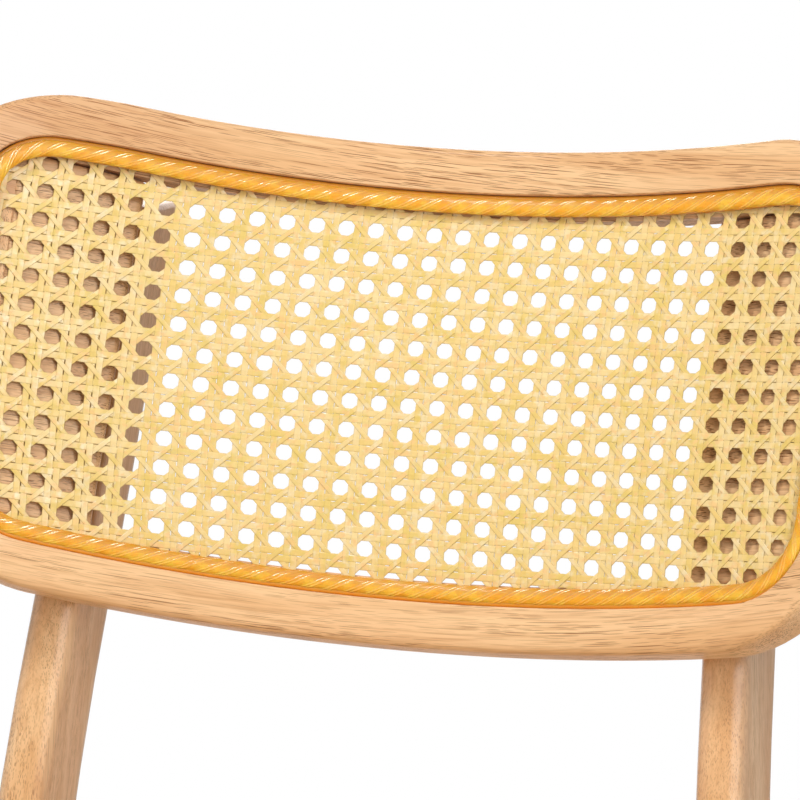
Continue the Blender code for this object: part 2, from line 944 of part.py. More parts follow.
def add_screw(name, head_place, direction, length, targets, parent=None):
    """A countersunk screw, its head flush at head_place, and its hole in each target."""
    run = Vector(direction).normalized()
    profile = [
        (0, length),
        (screw_radius, length - screw_radius),
        (screw_radius, screw_head_height),
        (screw_head_radius, 0),
        (0, 0),
    ]
    screw = turned_object(name, profile, steel)
    aim(screw, head_place, run)
    screw.parent = parent
    rings = [
        round_ring(screw_head_radius + fit_gap, -2 * weld_distance),
        round_ring(screw_radius + fit_gap, screw_head_height),
        round_ring(screw_radius + fit_gap, length + fit_gap),
    ]
    hole = add_mesh_object(f"{name}_hole", loft_tool(rings), cutters)
    aim(hole, head_place, run)
    hole.parent = parent
    for target in targets:
        combine(target, hole, "DIFFERENCE")
    return screw


def counterbore(target, name, head_place, outward, parent=None):
    """Opens a screw's hole from its head out to the air."""
    radius = plug_radius + fit_gap
    return bore((target,), f"{name}_counterbore", radius, head_place, outward, block_leg, parent)


def post_rear_face(up):
    """How deep the posts' rear lies behind the back frame's face, square to the back."""
    height = back_centre_height + up * math.cos(recline)
    rear = post_front(height) + post_depth(height)
    return (rear - back_place - up * math.sin(recline)) * math.cos(recline)


def build_back_screws(legs, boards):
    """Two screws through each post into its mounting board, their heads under wooden plugs."""
    for side, suffix in ((-1, "left"), (1, "right")):
        leg = legs[f"rear_{suffix}"]
        leg_shape = add_mesh_object(f"plug_trim_{suffix}", rear_leg_tool(side, 0), cutters)
        for level, level_name in ((1, "upper"), (-1, "lower")):
            up = level * back_screw_spacing / 2
            across = post_middle(side, back_centre_height + up * math.cos(recline))
            head = Vector((across, post_rear_face(up) - plug_length, up))
            name = f"back_screw_{level_name}_{suffix}"
            length = head.y - back_screw_point
            add_screw(name, head, (0, -1, 0), length, (leg, boards[suffix]), back)
            counterbore(leg, name, head, (0, 1, 0), back)
            plug = add_mesh_object(
                f"back_plug_{level_name}_{suffix}",
                cylinder_tool(plug_radius, plug_length * 2),
                parts,
                dowel_wood,
            )
            aim(plug, head + Vector((0, fit_gap, 0)), (0, 1, 0))
            plug.parent = back
            combine(plug, leg_shape, "INTERSECT")


def build_glide(name, across, along, leg):
    top = leg_bottom - fit_gap
    edge = glide_height / 3
    profile = [
        (0, top + glide_nail_length),
        (glide_nail_radius, top + glide_nail_length - glide_nail_radius),
        (glide_nail_radius, top),
        (glide_radius, top),
        (glide_radius, edge),
        (glide_radius - edge, 0),
        (0, 0),
    ]
    glide = turned_object(name, profile, glide_plastic)
    glide.location = (across, along, 0)
    bore(
        (leg,),
        f"{name}_hole",
        glide_nail_radius + fit_gap,
        (across, along, 0),
        (0, 0, 1),
        top + glide_nail_length + fit_gap,
    )


# Seat


def inset_half_width(place, inset):
    """Half the seat's width at a place along its depth, with its sides drawn in."""
    slope = (seat_front_width - seat_rear_width) / 2 / seat_depth
    return seat_half_width(place) - inset * math.sqrt(1 + slope**2)


def seat_outline(inset, radii):
    """The seat's plan, drawn in by an inset, from the front left corner anticlockwise."""
    front = seat_front_place + inset
    rear = seat_rear_place - inset
    front_half = inset_half_width(front, inset)
    rear_half = inset_half_width(rear, inset)
    corners = [(-front_half, front), (front_half, front), (rear_half, rear), (-rear_half, rear)]
    return rounded_outline(corners, radii)


def build_seat_members(rear_cutters):
    land_inset = seat_rim_width + land_width
    ring = ring_blank(
        "seat_ring",
        seat_outline(
            0,
            (
                seat_corner_radius,
                seat_corner_radius,
                seat_rear_corner_radius,
                seat_rear_corner_radius,
            ),
        ),
        seat_outline(seat_rim_width, [seat_pocket_radius] * 4),
        seat_outline(land_inset, (0, 0, 0, 0)),
        seat_thickness,
        seat_edge_radius,
    )
    front_joint = seat_front_place + land_inset + seat_joint_setback
    rear_joint = seat_rear_place - land_inset - seat_joint_setback
    reach = seat_front_width / 2 + cut_overrun
    under = -seat_thickness - cut_overrun
    half_gap = fit_gap / 2
    boxes = {
        "seat_frame_front": (
            (-reach, seat_front_place - cut_overrun, under),
            (reach, front_joint - half_gap, cut_overrun),
        ),
        "seat_frame_rear": (
            (-reach, rear_joint + half_gap, under),
            (reach, seat_rear_place + cut_overrun, cut_overrun),
        ),
        "seat_frame_left": (
            (-reach, front_joint + half_gap, under),
            (0, rear_joint - half_gap, cut_overrun),
        ),
        "seat_frame_right": (
            (0, front_joint + half_gap, under),
            (reach, rear_joint - half_gap, cut_overrun),
        ),
    }
    members = {}
    for name, (low, high) in boxes.items():
        made = add_mesh_object(name, cut_member(ring, low, high), parts, wood)
        made.location = (0, 0, seat_height)
        members[name] = made
    bpy.data.objects.remove(ring, do_unlink=True)
    for cutter in rear_cutters:
        combine(members["seat_frame_rear"], cutter, "DIFFERENCE")
    build_seat_dowels(members, front_joint, rear_joint)
    return members


def build_seat_dowels(members, front_joint, rear_joint):
    height = seat_height - rebate_depth - (seat_thickness - rebate_depth) / 2
    for side, suffix in ((-1, "left"), (1, "right")):
        for joint, end in ((front_joint, "front"), (rear_joint, "rear")):
            across = side * (seat_half_width(joint) - (seat_rim_width + land_width) / 2)
            start = Vector((across, joint - dowel_length / 2, height))
            name = f"seat_dowel_{end}_{suffix}"
            bore(
                (members[f"seat_frame_{end}"], members[f"seat_frame_{suffix}"]),
                f"{name}_hole",
                seat_dowel_radius + fit_gap,
                start - Vector((0, fit_gap, 0)),
                (0, 1, 0),
                dowel_length + 2 * fit_gap,
            )
            dowel = add_mesh_object(
                name, cylinder_tool(seat_dowel_radius, dowel_length), parts, dowel_wood
            )
            aim(dowel, start, (0, 1, 0))


def seat_cells():
    """The centres of the seat cane's openings, those that lie clear of the cord."""
    inset = seat_rim_width + fit_gap + cord_diameter
    half_hole = seat_cane_hole_width / 2
    middle = (seat_front_place + seat_rear_place) / 2
    centres = []
    for row in range(seat_cane_rows):
        along = middle + (row - (seat_cane_rows - 1) / 2) * seat_cane_pitch
        reach = inset_half_width(along + half_hole, inset)
        for column in range(seat_cane_columns):
            across = (column - (seat_cane_columns - 1) / 2) * seat_cane_pitch
            if abs(across) + half_hole < reach:
                centres.append((across, along))
    return centres


def build_seat_cane():
    """A flat sheet pierced by a plain grid of openings."""
    inset = seat_rim_width + fit_gap
    outline = seat_outline(inset, [seat_pocket_radius - fit_gap] * 4)
    sheet = add_mesh_object("seat_cane", plate_tool(outline, cane_thickness), parts, cane)
    sheet.location = (0, 0, seat_height - rebate_depth + fit_gap + cane_thickness)
    half_hole = seat_cane_hole_width / 2
    low = sheet.location.z - cane_thickness - cut_overrun
    high = sheet.location.z + cut_overrun
    openings = bmesh.new()
    for across, along in seat_cells():
        cell = bmesh.ops.create_cube(openings, size=1)["verts"]
        span = (seat_cane_hole_width, seat_cane_hole_width, high - low)
        bmesh.ops.scale(openings, vec=span, verts=cell)
        bmesh.ops.translate(openings, vec=(across, along, (low + high) / 2), verts=cell)
    combine(sheet, add_mesh_object("seat_cane_openings", openings, cutters), "DIFFERENCE")


def build_seat_cord():
    inset = seat_rim_width + fit_gap + cord_diameter / 2
    outline = seat_outline(inset, [seat_pocket_radius - fit_gap - cord_diameter / 2] * 4)
    add_cord("seat_cord", [(point.x, point.y, seat_height - cord_depth()) for point in outline])


# The chair, put together from the back down

members = build_back_members()
build_back_dowels(members)
build_back_cane()
build_back_cord()

sides = ((-1, "left"), (1, "right"))
boards = {}
legs = {}
leg_cutters = {}
for side, suffix in sides:
    boards[suffix] = build_board(side, suffix)
    legs[f"rear_{suffix}"] = build_rear_leg(side, suffix)
    legs[f"front_{suffix}"] = build_front_leg(side, suffix)
    leg_cutters[f"rear_{suffix}"] = add_mesh_object(
        f"rear_leg_space_{suffix}", rear_leg_tool(side, fit_gap), cutters
    )
    leg_cutters[f"front_{suffix}"] = add_mesh_object(
        f"front_leg_space_{suffix}", front_leg_tool(side, fit_gap), cutters
    )

aprons = build_aprons(legs, leg_cutters)
seat_members = build_seat_members((leg_cutters["rear_left"], leg_cutters["rear_right"]))
build_seat_cane()
build_seat_cord()

for side, suffix in sides:
    for end in ("front", "rear"):
        build_corner_block(
            f"corner_block_{end}_{suffix}",
            side,
            end,
            leg_cutters[f"{end}_{suffix}"],
            aprons[end],
            seat_members[f"seat_frame_{end}"],
        )

build_back_screws(legs, boards)

for side, suffix in sides:
    rear_middle = post_front(leg_bottom) + post_depth(leg_bottom) / 2
    build_glide(
        f"glide_rear_{suffix}", post_middle(side, leg_bottom), rear_middle, legs[f"rear_{suffix}"]
    )
    foot = front_leg_middle(side, leg_bottom)
    build_glide(f"glide_front_{suffix}", foot[0], foot[1], legs[f"front_{suffix}"])

for made in parts.objects:
    if made.type == "MESH":
        made.data.shade_smooth()
        made.data.set_sharp_from_angle(angle=math.radians(smooth_angle))
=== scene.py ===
import math

import bmesh
import bpy
import numpy as np
from mathutils import Matrix, Vector


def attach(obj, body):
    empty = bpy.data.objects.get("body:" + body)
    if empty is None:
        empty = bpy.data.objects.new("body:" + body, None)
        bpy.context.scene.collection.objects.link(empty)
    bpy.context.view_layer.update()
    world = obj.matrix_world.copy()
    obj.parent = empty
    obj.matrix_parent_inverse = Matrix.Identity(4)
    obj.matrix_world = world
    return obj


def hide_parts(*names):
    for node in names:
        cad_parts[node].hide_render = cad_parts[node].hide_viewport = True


# Rattan dining chair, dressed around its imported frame.
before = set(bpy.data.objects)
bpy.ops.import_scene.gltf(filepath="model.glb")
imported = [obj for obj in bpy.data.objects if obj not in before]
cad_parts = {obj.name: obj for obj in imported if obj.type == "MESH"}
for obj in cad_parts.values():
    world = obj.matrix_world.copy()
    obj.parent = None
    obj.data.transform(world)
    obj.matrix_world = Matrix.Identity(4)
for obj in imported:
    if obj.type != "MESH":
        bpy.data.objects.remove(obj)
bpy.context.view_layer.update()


# Back frame.
# Two curved rails and two short side members of pale rubberwood, doweled into one rim that bows
# down in its middle. It is sanded round at every edge and finished with satin clear lacquer.

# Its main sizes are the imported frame's. A place on it is given along its curve (s), up the flat
# frame (level) and back from its face (depth).
back_origin = Vector((0, 0.20596, 0.696))
back_recline = math.radians(16)
back_radius = 0.42
back_dip_rate = 0.287
back_level = 0.0133
back_half_width = 0.212
back_half_height = 0.109
back_corner_radius = 0.059
back_rim = 0.0195
back_pocket_radius = 0.033
back_land = 0.010
side_land = 0.0115
back_thickness = 0.020
rebate_depth = 0.008
rim_edge = 0.0032
lip_edge = 0.0007
rail_joint = 0.05215
member_joint = 0.05185

# The rim widens towards its top, which falls away into its two corners, as in the photograph.
back_flare = 0.030
corner_droop = 0.0031
droop_start_left = 0.130
droop_start_right = 0.150
droop_end = 0.182
droop_level = 0.055
droop_rise = 0.035

# How finely the meshes are made.
corner_rays = 18
straight_rays = 49
side_rays = 9
edge_steps = 5
lip_steps = 3
search_reach = 0.2
search_halvings = 40
sharp_turn = math.radians(50)

# The lacquer, and the wood's edges and relief under it.
lacquer_roughness = 0.42
lacquer_specular = 0.06
lacquer_coat = 0.08
lacquer_coat_roughness = 0.14
lacquer_index = 1.6
grain_relief = 0.12
grain_depth = 0.0002
# Where a bent piece starts and stops growing darker towards its left end.
darkening_start = -0.06
darkening_end = -0.15
sanded_edge = 0.003
polished_edge = 0.008
edge_samples = 6


def add_node(tree, kind, values=None, **settings):
    """A node with its plain settings, and its sockets' values or links."""
    made = tree.nodes.new(kind)
    for key, value in settings.items():
        setattr(made, key, value)
    for key, value in (values or {}).items():
        if isinstance(value, bpy.types.NodeSocket):
            tree.links.new(value, made.inputs[key])
        else:
            made.inputs[key].default_value = value
    return made


def maths(tree, operation, first, second=0.0):
    return add_node(tree, "ShaderNodeMath", {0: first, 1: second}, operation=operation).outputs[0]


def blend_colours(tree, share, first, second):
    mixer = add_node(tree, "ShaderNodeMix", {"Factor": share}, data_type="RGBA")
    for socket, value in ((mixer.inputs[6], first), (mixer.inputs[7], second)):
        if isinstance(value, bpy.types.NodeSocket):
            tree.links.new(value, socket)
        else:
            socket.default_value = value
    return mixer.outputs[2]


def remap(tree, value, low, high, to_low=0.0, to_high=1.0):
    ranged = add_node(
        tree,
        "ShaderNodeMapRange",
        {"Value": value, "From Min": low, "From Max": high, "To Min": to_low, "To Max": to_high},
        interpolation_type="SMOOTHSTEP",
    )
    return ranged.outputs[0]


def stretched(tree, vector, scale):
    return add_node(tree, "ShaderNodeMapping", {"Vector": vector, "Scale": scale}).outputs[0]


def noise_at(tree, place, scale, detail=2, rough=0.5):
    values = {"Vector": place, "Scale": scale, "Detail": detail, "Roughness": rough}
    return add_node(tree, "ShaderNodeTexNoise", values).outputs[0]


def vector_maths(tree, operation, first, second):
    made = add_node(tree, "ShaderNodeVectorMath", {0: first, 1: second}, operation=operation)
    return made.outputs[0]


def open_group(name, inputs, outputs):
    """A shader node group with named sockets, and its two end nodes."""
    tree = bpy.data.node_groups.new(name, "ShaderNodeTree")
    for label, kind in inputs:
        tree.interface.new_socket(label, in_out="INPUT", socket_type=kind)
    for label, kind in outputs:
        tree.interface.new_socket(label, in_out="OUTPUT", socket_type=kind)
    start = tree.nodes.new("NodeGroupInput")
    end = tree.nodes.new("NodeGroupOutput")
    return tree, start, end


def open_material(name):
    """A new material, its node tree and the Principled shader in it."""
    material = bpy.data.materials.new(name)
    material.use_nodes = True
    tree = material.node_tree
    return material, tree, tree.nodes["Principled BSDF"]


def rubberwood_group():
    """Pale honey wood: broad bands, fine fibres and short dark pores along X, in metres."""
    tree, start, end = open_group(
        "rubberwood grain",
        [
            ("Vector", "NodeSocketVector"),
            ("Pores", "NodeSocketFloat"),
            ("Figure", "NodeSocketFloat"),
            ("Tone", "NodeSocketFloat"),
        ],
        [
            ("Color", "NodeSocketColor"),
            ("Roughness", "NodeSocketFloat"),
            ("Height", "NodeSocketFloat"),
        ],
    )
    slow = stretched(tree, start.outputs["Vector"], (9, 24, 24))
    drift = add_node(tree, "ShaderNodeTexNoise", {"Vector": slow, "Scale": 1, "Detail": 1})
    drift = drift.outputs["Color"]
    drift = vector_maths(tree, "SUBTRACT", drift, (0.5, 0.5, 0.5))
    drift = vector_maths(tree, "MULTIPLY", drift, (0, 0.004, 0.004))
    place = vector_maths(tree, "ADD", start.outputs["Vector"], drift)

    def noise(scale, detail, rough=0.5):
        return noise_at(tree, stretched(tree, place, scale), 1, detail, rough)

    def vessels(scale, reach):
        """Thin dashes where the cut surface meets the wood's open vessels."""
        values = {"Vector": stretched(tree, place, scale), "Scale": 1}
        cells = add_node(tree, "ShaderNodeTexVoronoi", values, feature="F1")
        return remap(tree, cells.outputs["Distance"], reach, reach * 0.75)

    bands = noise((5, 70, 70), 3)
    clouds = noise((9, 26, 26), 2)
    fibres = noise((26, 1100, 1100), 3, 0.6)
    honey = (0.875, 0.570, 0.305, 1)
    peach = (0.785, 0.465, 0.225, 1)
    rose = (0.835, 0.505, 0.265, 1)
    colour = blend_colours(tree, remap(tree, bands, 0.36, 0.64), honey, peach)
    colour = blend_colours(tree, remap(tree, clouds, 0.42, 0.72, 0, 0.6), colour, rose)
    fibre_brown = (0.520, 0.245, 0.095, 1)
    colour = blend_colours(tree, remap(tree, fibres, 0.46, 0.74, 0, 0.48), colour, fibre_brown)
    streaks = noise((15, 430, 430), 2)
    streak_brown = (0.600, 0.310, 0.135, 1)
    colour = blend_colours(tree, remap(tree, streaks, 0.50, 0.68, 0, 0.34), colour, streak_brown)
    blotches = remap(tree, noise((16, 48, 48), 2), 0.42, 0.66)
    blotches = maths(tree, "MULTIPLY", blotches, start.outputs["Figure"])
    blotch_amber = (0.600, 0.260, 0.070, 1)
    colour = blend_colours(tree, blotches, colour, blotch_amber)

    crowd = remap(tree, noise((10, 90, 90), 2), 0.34, 0.62, 0.25, 1.0)
    long_pores = vessels((24, 1500, 1500), 0.29)
    fine_pores = maths(tree, "MULTIPLY", vessels((52, 2300, 2300), 0.33), 0.8)
    pores = maths(tree, "MULTIPLY", maths(tree, "MAXIMUM", long_pores, fine_pores), crowd)
    pores = maths(tree, "MULTIPLY", pores, start.outputs["Pores"])
    pore_brown = (0.230, 0.085, 0.025, 1)
    colour = blend_colours(tree, maths(tree, "MULTIPLY", pores, 0.95), colour, pore_brown)
    # A darker tone, blended in by the Tone input; a bent piece can grow darker by it towards its
    # left end.
    darker_tone = (0.50, 0.205, 0.09, 1)
    colour = blend_colours(tree, start.outputs["Tone"], colour, darker_tone)
    tree.links.new(colour, end.inputs["Color"])
    rough = remap(tree, fibres, 0.3, 0.7, lacquer_roughness - 0.05, lacquer_roughness + 0.06)
    rough = maths(tree, "ADD", rough, maths(tree, "MULTIPLY", pores, 0.2))
    tree.links.new(rough, end.inputs["Roughness"])
    height = maths(tree, "SUBTRACT", maths(tree, "MULTIPLY", fibres, 0.25), pores)
    tree.links.new(height, end.inputs["Height"])
    return tree


rubberwood = rubberwood_group()


def bent_grain_group():
    """Turns places on the chair into grain space that follows the back's curve."""
    tree, start, end = open_group(
        "grain along the curved back",
        [("Vector", "NodeSocketVector"), ("Tilt", "NodeSocketFloat"), ("Bow", "NodeSocketFloat")],
        [("Vector", "NodeSocketVector")],
    )
    local = add_node(
        tree,
        "ShaderNodeMapping",
        {
            "Vector": start.outputs["Vector"],
            "Location": tuple(back_origin),
            "Rotation": (-back_recline, 0, 0),
        },
        vector_type="TEXTURE",
    ).outputs[0]
    parts = add_node(tree, "ShaderNodeSeparateXYZ", {"Vector": local}).outputs
    reach = maths(tree, "ADD", parts[1], back_radius)
    along = maths(tree, "MULTIPLY", maths(tree, "ARCTAN2", parts[0], reach), back_radius)
    squares = maths(
        tree,
        "ADD",
        maths(tree, "MULTIPLY", parts[0], parts[0]),
        maths(tree, "MULTIPLY", reach, reach),
    )
    depth = maths(tree, "SQRT", squares)
    bowed = maths(tree, "MULTIPLY", maths(tree, "MULTIPLY", along, along), start.outputs["Bow"])
    tilted = maths(tree, "MULTIPLY", along, start.outputs["Tilt"])
    level = maths(tree, "SUBTRACT", maths(tree, "SUBTRACT", parts[2], bowed), tilted)
    joined = add_node(tree, "ShaderNodeCombineXYZ", {0: along, 1: depth, 2: level}).outputs[0]
    tree.links.new(joined, end.inputs["Vector"])
    return tree


bent_grain = bent_grain_group()


def edge_gloss_group():
    """Lacquer polished by hands on an upright piece's rounded edges, dull on its faces."""
    tree, start, end = open_group(
        "gloss on upright edges", [("Normal", "NodeSocketVector")], [("Coat", "NodeSocketFloat")]
    )
    facing = add_node(tree, "ShaderNodeSeparateXYZ", {"Vector": start.outputs["Normal"]}).outputs
    corner = maths(tree, "ABSOLUTE", maths(tree, "MULTIPLY", facing[0], facing[1]))
    tree.links.new(remap(tree, corner, 0.10, 0.30, lacquer_coat, 1), end.inputs["Coat"])
    return tree


edge_gloss = edge_gloss_group()


def wood_material(
    name,
    turn=(0, 0, 0),
    shift=(0, 0, 0),
    pores=1.0,
    figure=0.0,
    tone=0.0,
    bend=None,
    polished=False,
    own_edges=False,
    left_darkening=0.0,
):
    """Lacquered rubberwood, its grain turned to the piece or bent with the back.

    polished is for an upright piece with glossy rounded edges, own_edges says that the piece's
    own mesh is rounded, and left_darkening is how much darker a bent piece grows towards its left
    end."""
    material, tree, shader = open_material(name)
    place = add_node(tree, "ShaderNodeTexCoord").outputs["Object"]
    if bend:
        placed = add_node(tree, "ShaderNodeGroup", node_tree=bent_grain)
        tree.links.new(place, placed.inputs["Vector"])
        placed.inputs["Tilt"].default_value = bend[0]
        placed.inputs["Bow"].default_value = bend[1]
        place = placed.outputs["Vector"]
    place = add_node(
        tree, "ShaderNodeMapping", {"Vector": place, "Rotation": turn, "Location": shift}
    ).outputs[0]
    grain = add_node(tree, "ShaderNodeGroup", node_tree=rubberwood)
    tree.links.new(place, grain.inputs["Vector"])
    grain.inputs["Pores"].default_value = pores
    grain.inputs["Figure"].default_value = figure
    grain.inputs["Tone"].default_value = tone
    if left_darkening:
        grain_place = add_node(tree, "ShaderNodeSeparateXYZ", {"Vector": placed.outputs["Vector"]})
        along = grain_place.outputs[0]
        toward_left = remap(tree, along, darkening_start, darkening_end, tone, tone + left_darkening)
        tree.links.new(toward_left, grain.inputs["Tone"])
    tree.links.new(grain.outputs["Color"], shader.inputs["Base Color"])
    tree.links.new(grain.outputs["Roughness"], shader.inputs["Roughness"])
    relief = {
        "Height": grain.outputs["Height"],
        "Strength": grain_relief,
        "Distance": grain_depth,
    }
    bump = add_node(tree, "ShaderNodeBump", relief)
    if not own_edges:
        edge = polished_edge if polished else sanded_edge
        sanded = add_node(tree, "ShaderNodeBevel", {"Radius": edge}, samples=edge_samples)
        tree.links.new(sanded.outputs[0], bump.inputs["Normal"])
        tree.links.new(sanded.outputs[0], shader.inputs["Coat Normal"])
    tree.links.new(bump.outputs[0], shader.inputs["Normal"])
    shader.inputs["Specular IOR Level"].default_value = lacquer_specular
    shader.inputs["Coat Weight"].default_value = lacquer_coat
    shader.inputs["Coat Roughness"].default_value = lacquer_coat_roughness
    shader.inputs["Coat IOR"].default_value = lacquer_index
    if polished:
        gloss = add_node(tree, "ShaderNodeGroup", node_tree=edge_gloss)
        tree.links.new(sanded.outputs[0], gloss.inputs["Normal"])
        tree.links.new(gloss.outputs["Coat"], shader.inputs["Coat Weight"])
    return material


back_turn = np.array(Matrix.Rotation(-back_recline, 3, "X"))


def flared(s, level):
    """The back is a little wider at its top than at its foot."""
    share = np.clip((level + back_half_height) / (2 * back_half_height), 0, 1)
    return s * (1 + back_flare * share)


def eased(share):
    """A share of a move that starts and ends softly."""
    share = np.clip(share, 0, 1)
    return share * share * (3 - 2 * share)


def drooped(s, level):
    """The top rail falls away a little into its two corners, sooner at the left one."""
    high = np.clip((level - droop_level) / droop_rise, 0, 1)
    starts = np.where(s < 0, droop_start_left, droop_start_right)
    beyond = eased((np.abs(s) - starts) / (droop_end - starts))
    return level - corner_droop * beyond * high


def back_point(s, level, depth):
    """A place on the bent back: along its curve, up the flat frame and behind its face."""
    angle = s / back_radius
    reach = back_radius + depth
    up = level + back_dip_rate * (s * s - back_level)
    flat = np.stack([reach * np.sin(angle), reach * np.cos(angle) - back_radius, up], -1)
    return flat @ back_turn.T + np.array(back_origin)


def rounded_inside(s, t, half_width, half_height, radius):
    """Whether places lie inside a rectangle with rounded corners."""
    beyond_s = np.maximum(np.abs(s) - (half_width - radius), 0)
    beyond_t = np.maximum(np.abs(t) - (half_height - radius), 0)
    return np.hypot(beyond_s, beyond_t) <= radius


def outline_reach(origin, direction, inset, radius, side_inset=None):
    """How far the rim's outline, drawn in by an inset, lies from a place inside it."""
    half_width = back_half_width - (side_inset or inset)
    low, high = 0.0, search_reach
    for _ in range(search_halvings):
        middle = (low + high) / 2
        s, level = origin[0] + direction[0] * middle, origin[1] + direction[1] * middle
        inside = rounded_inside(s, level, half_width, back_half_height - inset, radius)
        low, high = (middle, high) if inside else (low, middle)
    return low


def rim_section(outer, pocket, opening):
    """The rim's cross-section: distance from the middle, depth, and whether it flares."""
    points = []
    for step in range(edge_steps + 1):
        turn = math.pi / 2 * step / edge_steps
        side = outer - rim_edge * (1 - math.sin(turn))
        points.append((side, rim_edge * (1 - math.cos(turn)), True))
    for step in range(edge_steps + 1):
        turn = math.pi / 2 * step / edge_steps
        rear = back_thickness - rim_edge * (1 - math.sin(turn))
        points.append((outer - rim_edge * (1 - math.cos(turn)), rear, True))
    points += [(opening, back_thickness, False), (opening, rebate_depth, False)]
    points.append((pocket, rebate_depth, True))
    for step in range(lip_steps + 1):
        turn = math.pi / 2 * step / lip_steps
        rise = lip_edge * (1 - math.sin(turn))
        points.append((pocket + lip_edge * (1 - math.cos(turn)), rise, True))
    return points


def rim_stations(side, level_sign=0):
    """Rays from the rim's inside out, along one side member or round one whole rail."""
    centre_s = back_half_width - back_corner_radius
    centre_level = back_half_height - back_corner_radius
    if not level_sign:
        levels = np.linspace(-1, 1, side_rays) * member_joint
        return [((side * centre_s, level), (side, 0)) for level in levels]
    stations = [((-centre_s, level_sign * rail_joint), (-1, 0))]
    for turn in np.radians(np.linspace(4, 86, corner_rays)):
        direction = (-math.cos(turn), level_sign * math.sin(turn))
        stations.append(((-centre_s, level_sign * centre_level), direction))
    for s in np.linspace(-centre_s, centre_s, straight_rays):
        stations.append(((s, level_sign * centre_level), (0, level_sign)))
    for (s, level), (across, up) in stations[corner_rays::-1]:
        stations.append(((-s, level), (-across, up)))
    return stations


def add_object(name, data):
    made = bpy.data.objects.new(name, data)
    bpy.context.scene.collection.objects.link(made)
    return made


def rim_member(node, stations, material):
    """One member of the rim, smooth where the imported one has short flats."""
    rings = []
    for origin, direction in stations:
        outer = outline_reach(origin, direction, 0, back_corner_radius)
        pocket = outline_reach(origin, direction, back_rim, back_pocket_radius)
        opening = outline_reach(origin, direction, back_rim + back_land, 0, back_rim + side_land)
        opening = min(opening, pocket)
        ring = []
        for distance, depth, flares in rim_section(outer, pocket, opening):
            s, level = origin[0] + direction[0] * distance, origin[1] + direction[1] * distance
            if flares:
                s, level = flared(s, level), drooped(s, level)
            ring.append(back_point(s, level, depth))
        rings.append(ring)
    sides = len(rings[0])
    faces = [list(range(sides))]
    for row in range(len(rings) - 1):
        for side in range(sides):
            other = (side + 1) % sides
            here, there = row * sides, (row + 1) * sides
            faces.append([here + side, there + side, there + other, here + other])
    faces.append([(len(rings) - 1) * sides + side for side in reversed(range(sides))])
    mesh = bpy.data.meshes.new(f"{node}_smooth")
    mesh.from_pydata([tuple(point) for ring in rings for point in ring], [], faces)
    tool = bmesh.new()
    tool.from_mesh(mesh)
    bmesh.ops.recalc_face_normals(tool, faces=tool.faces)
    tool.to_mesh(mesh)
    tool.free()
    mesh.shade_smooth()
    mesh.set_sharp_from_angle(angle=sharp_turn)
    mesh.materials.append(material)
    made = add_object(f"{node}_smooth", mesh)
    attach(made, "root")
    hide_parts(node)


def finish_nodes(material, *nodes):
    """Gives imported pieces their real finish."""
    for node in nodes:
        for slot in bpy.data.objects[node].material_slots:
            slot.material = material


quarter = math.pi / 2
top_wood = wood_material(
    "rubberwood top rail", tone=0.04, bend=(-0.06, 0.10), own_edges=True, left_darkening=0.30
)
rim_member("back_top_rail", rim_stations(0, 1), top_wood)
bottom_wood = wood_material(
    "rubberwood bottom rail", shift=(0.4, 0, 0.3), bend=(0.02, back_dip_rate), own_edges=True
)
rim_member("back_bottom_rail", rim_stations(0, -1), bottom_wood)
side_wood = wood_material(
    "rubberwood side member", turn=(0, quarter, 0), shift=(1.3, 0, 0), own_edges=True
)
rim_member("back_side_member_left", rim_stations(-1), side_wood)
rim_member("back_side_member_right", rim_stations(1), side_wood)


# Mounting boards.
# A wide board stands behind the cane at each end of the back, its grain across, let into the
# rim. The post behind it is screwed to it, so the cane itself carries nothing.

finish_nodes(
    wood_material("rubberwood board", shift=(2.1, 0, 0.9), bend=(0, 0)),
    "back_mounting_board_left",
    "back_mounting_board_right",
)


# Legs, aprons and corner blocks.
# Rubberwood, sawn to shape and sanded round. The rear legs are sabre-shaped and carry on as the
# back's posts, so their upright grain runs out at the leaning faces in short dark dots.

upright = (0, quarter, 0)
finish_nodes(
    wood_material(
        "rubberwood left leg",
        turn=upright,
        shift=(0.7, 0.2, 0),
        pores=0.6,
        figure=0.35,
        polished=True,
    ),
    "rear_leg_left",
    "front_leg_left",
)
finish_nodes(
    wood_material(
        "rubberwood right leg",
        turn=upright,
        shift=(2.2, 0.6, 0),
        pores=0.5,
        figure=0.35,
        tone=0.14,
        polished=True,
    ),
    "rear_leg_right",
    "front_leg_right",
)
finish_nodes(
    wood_material("rubberwood cross apron", shift=(0.2, 0.5, 0)),
    "apron_front",
    "apron_rear",
)
finish_nodes(
    wood_material("rubberwood side apron", turn=(0, 0, quarter), shift=(0.9, 0.5, 0)),
    "apron_left",
    "apron_right",
)
finish_nodes(
    wood_material("rubberwood corner block", turn=(0, 0, math.pi / 4), shift=(3.9, 0.5, 0)),
    "corner_block_front_left",
    "corner_block_front_right",
    "corner_block_rear_left",
    "corner_block_rear_right",
)


# Seat frame.
# Four rubberwood members around the cane, the front one as long as the seat is wide, doweled
# together and screwed up from the corner blocks.

finish_nodes(
    wood_material("rubberwood seat rail", shift=(1.7, 0.1, 0)), "seat_frame_front", "seat_frame_rear"
)
finish_nodes(
    wood_material("rubberwood seat stile", turn=(0, 0, quarter), shift=(2.9, 0.1, 0)),
    "seat_frame_left",
    "seat_frame_right",
)


# Dowels, plugs, screws and glides.
# Beech dowels pin the frames, beech plugs cover the back's screws, and zinc-plated screws and
# moulded brown glides do the rest.

side_names = ("left", "right")
plug_nodes = []
for level in ("upper", "lower"):
    for side in side_names:
        plug_nodes += [f"back_plug_{level}_{side}", f"back_dowel_{level}_{side}"]
for end in ("front", "rear"):
    for side in side_names:
        plug_nodes.append(f"seat_dowel_{end}_{side}")
finish_nodes(wood_material("beech plug", turn=(0, 0, quarter), pores=0.5), *plug_nodes)


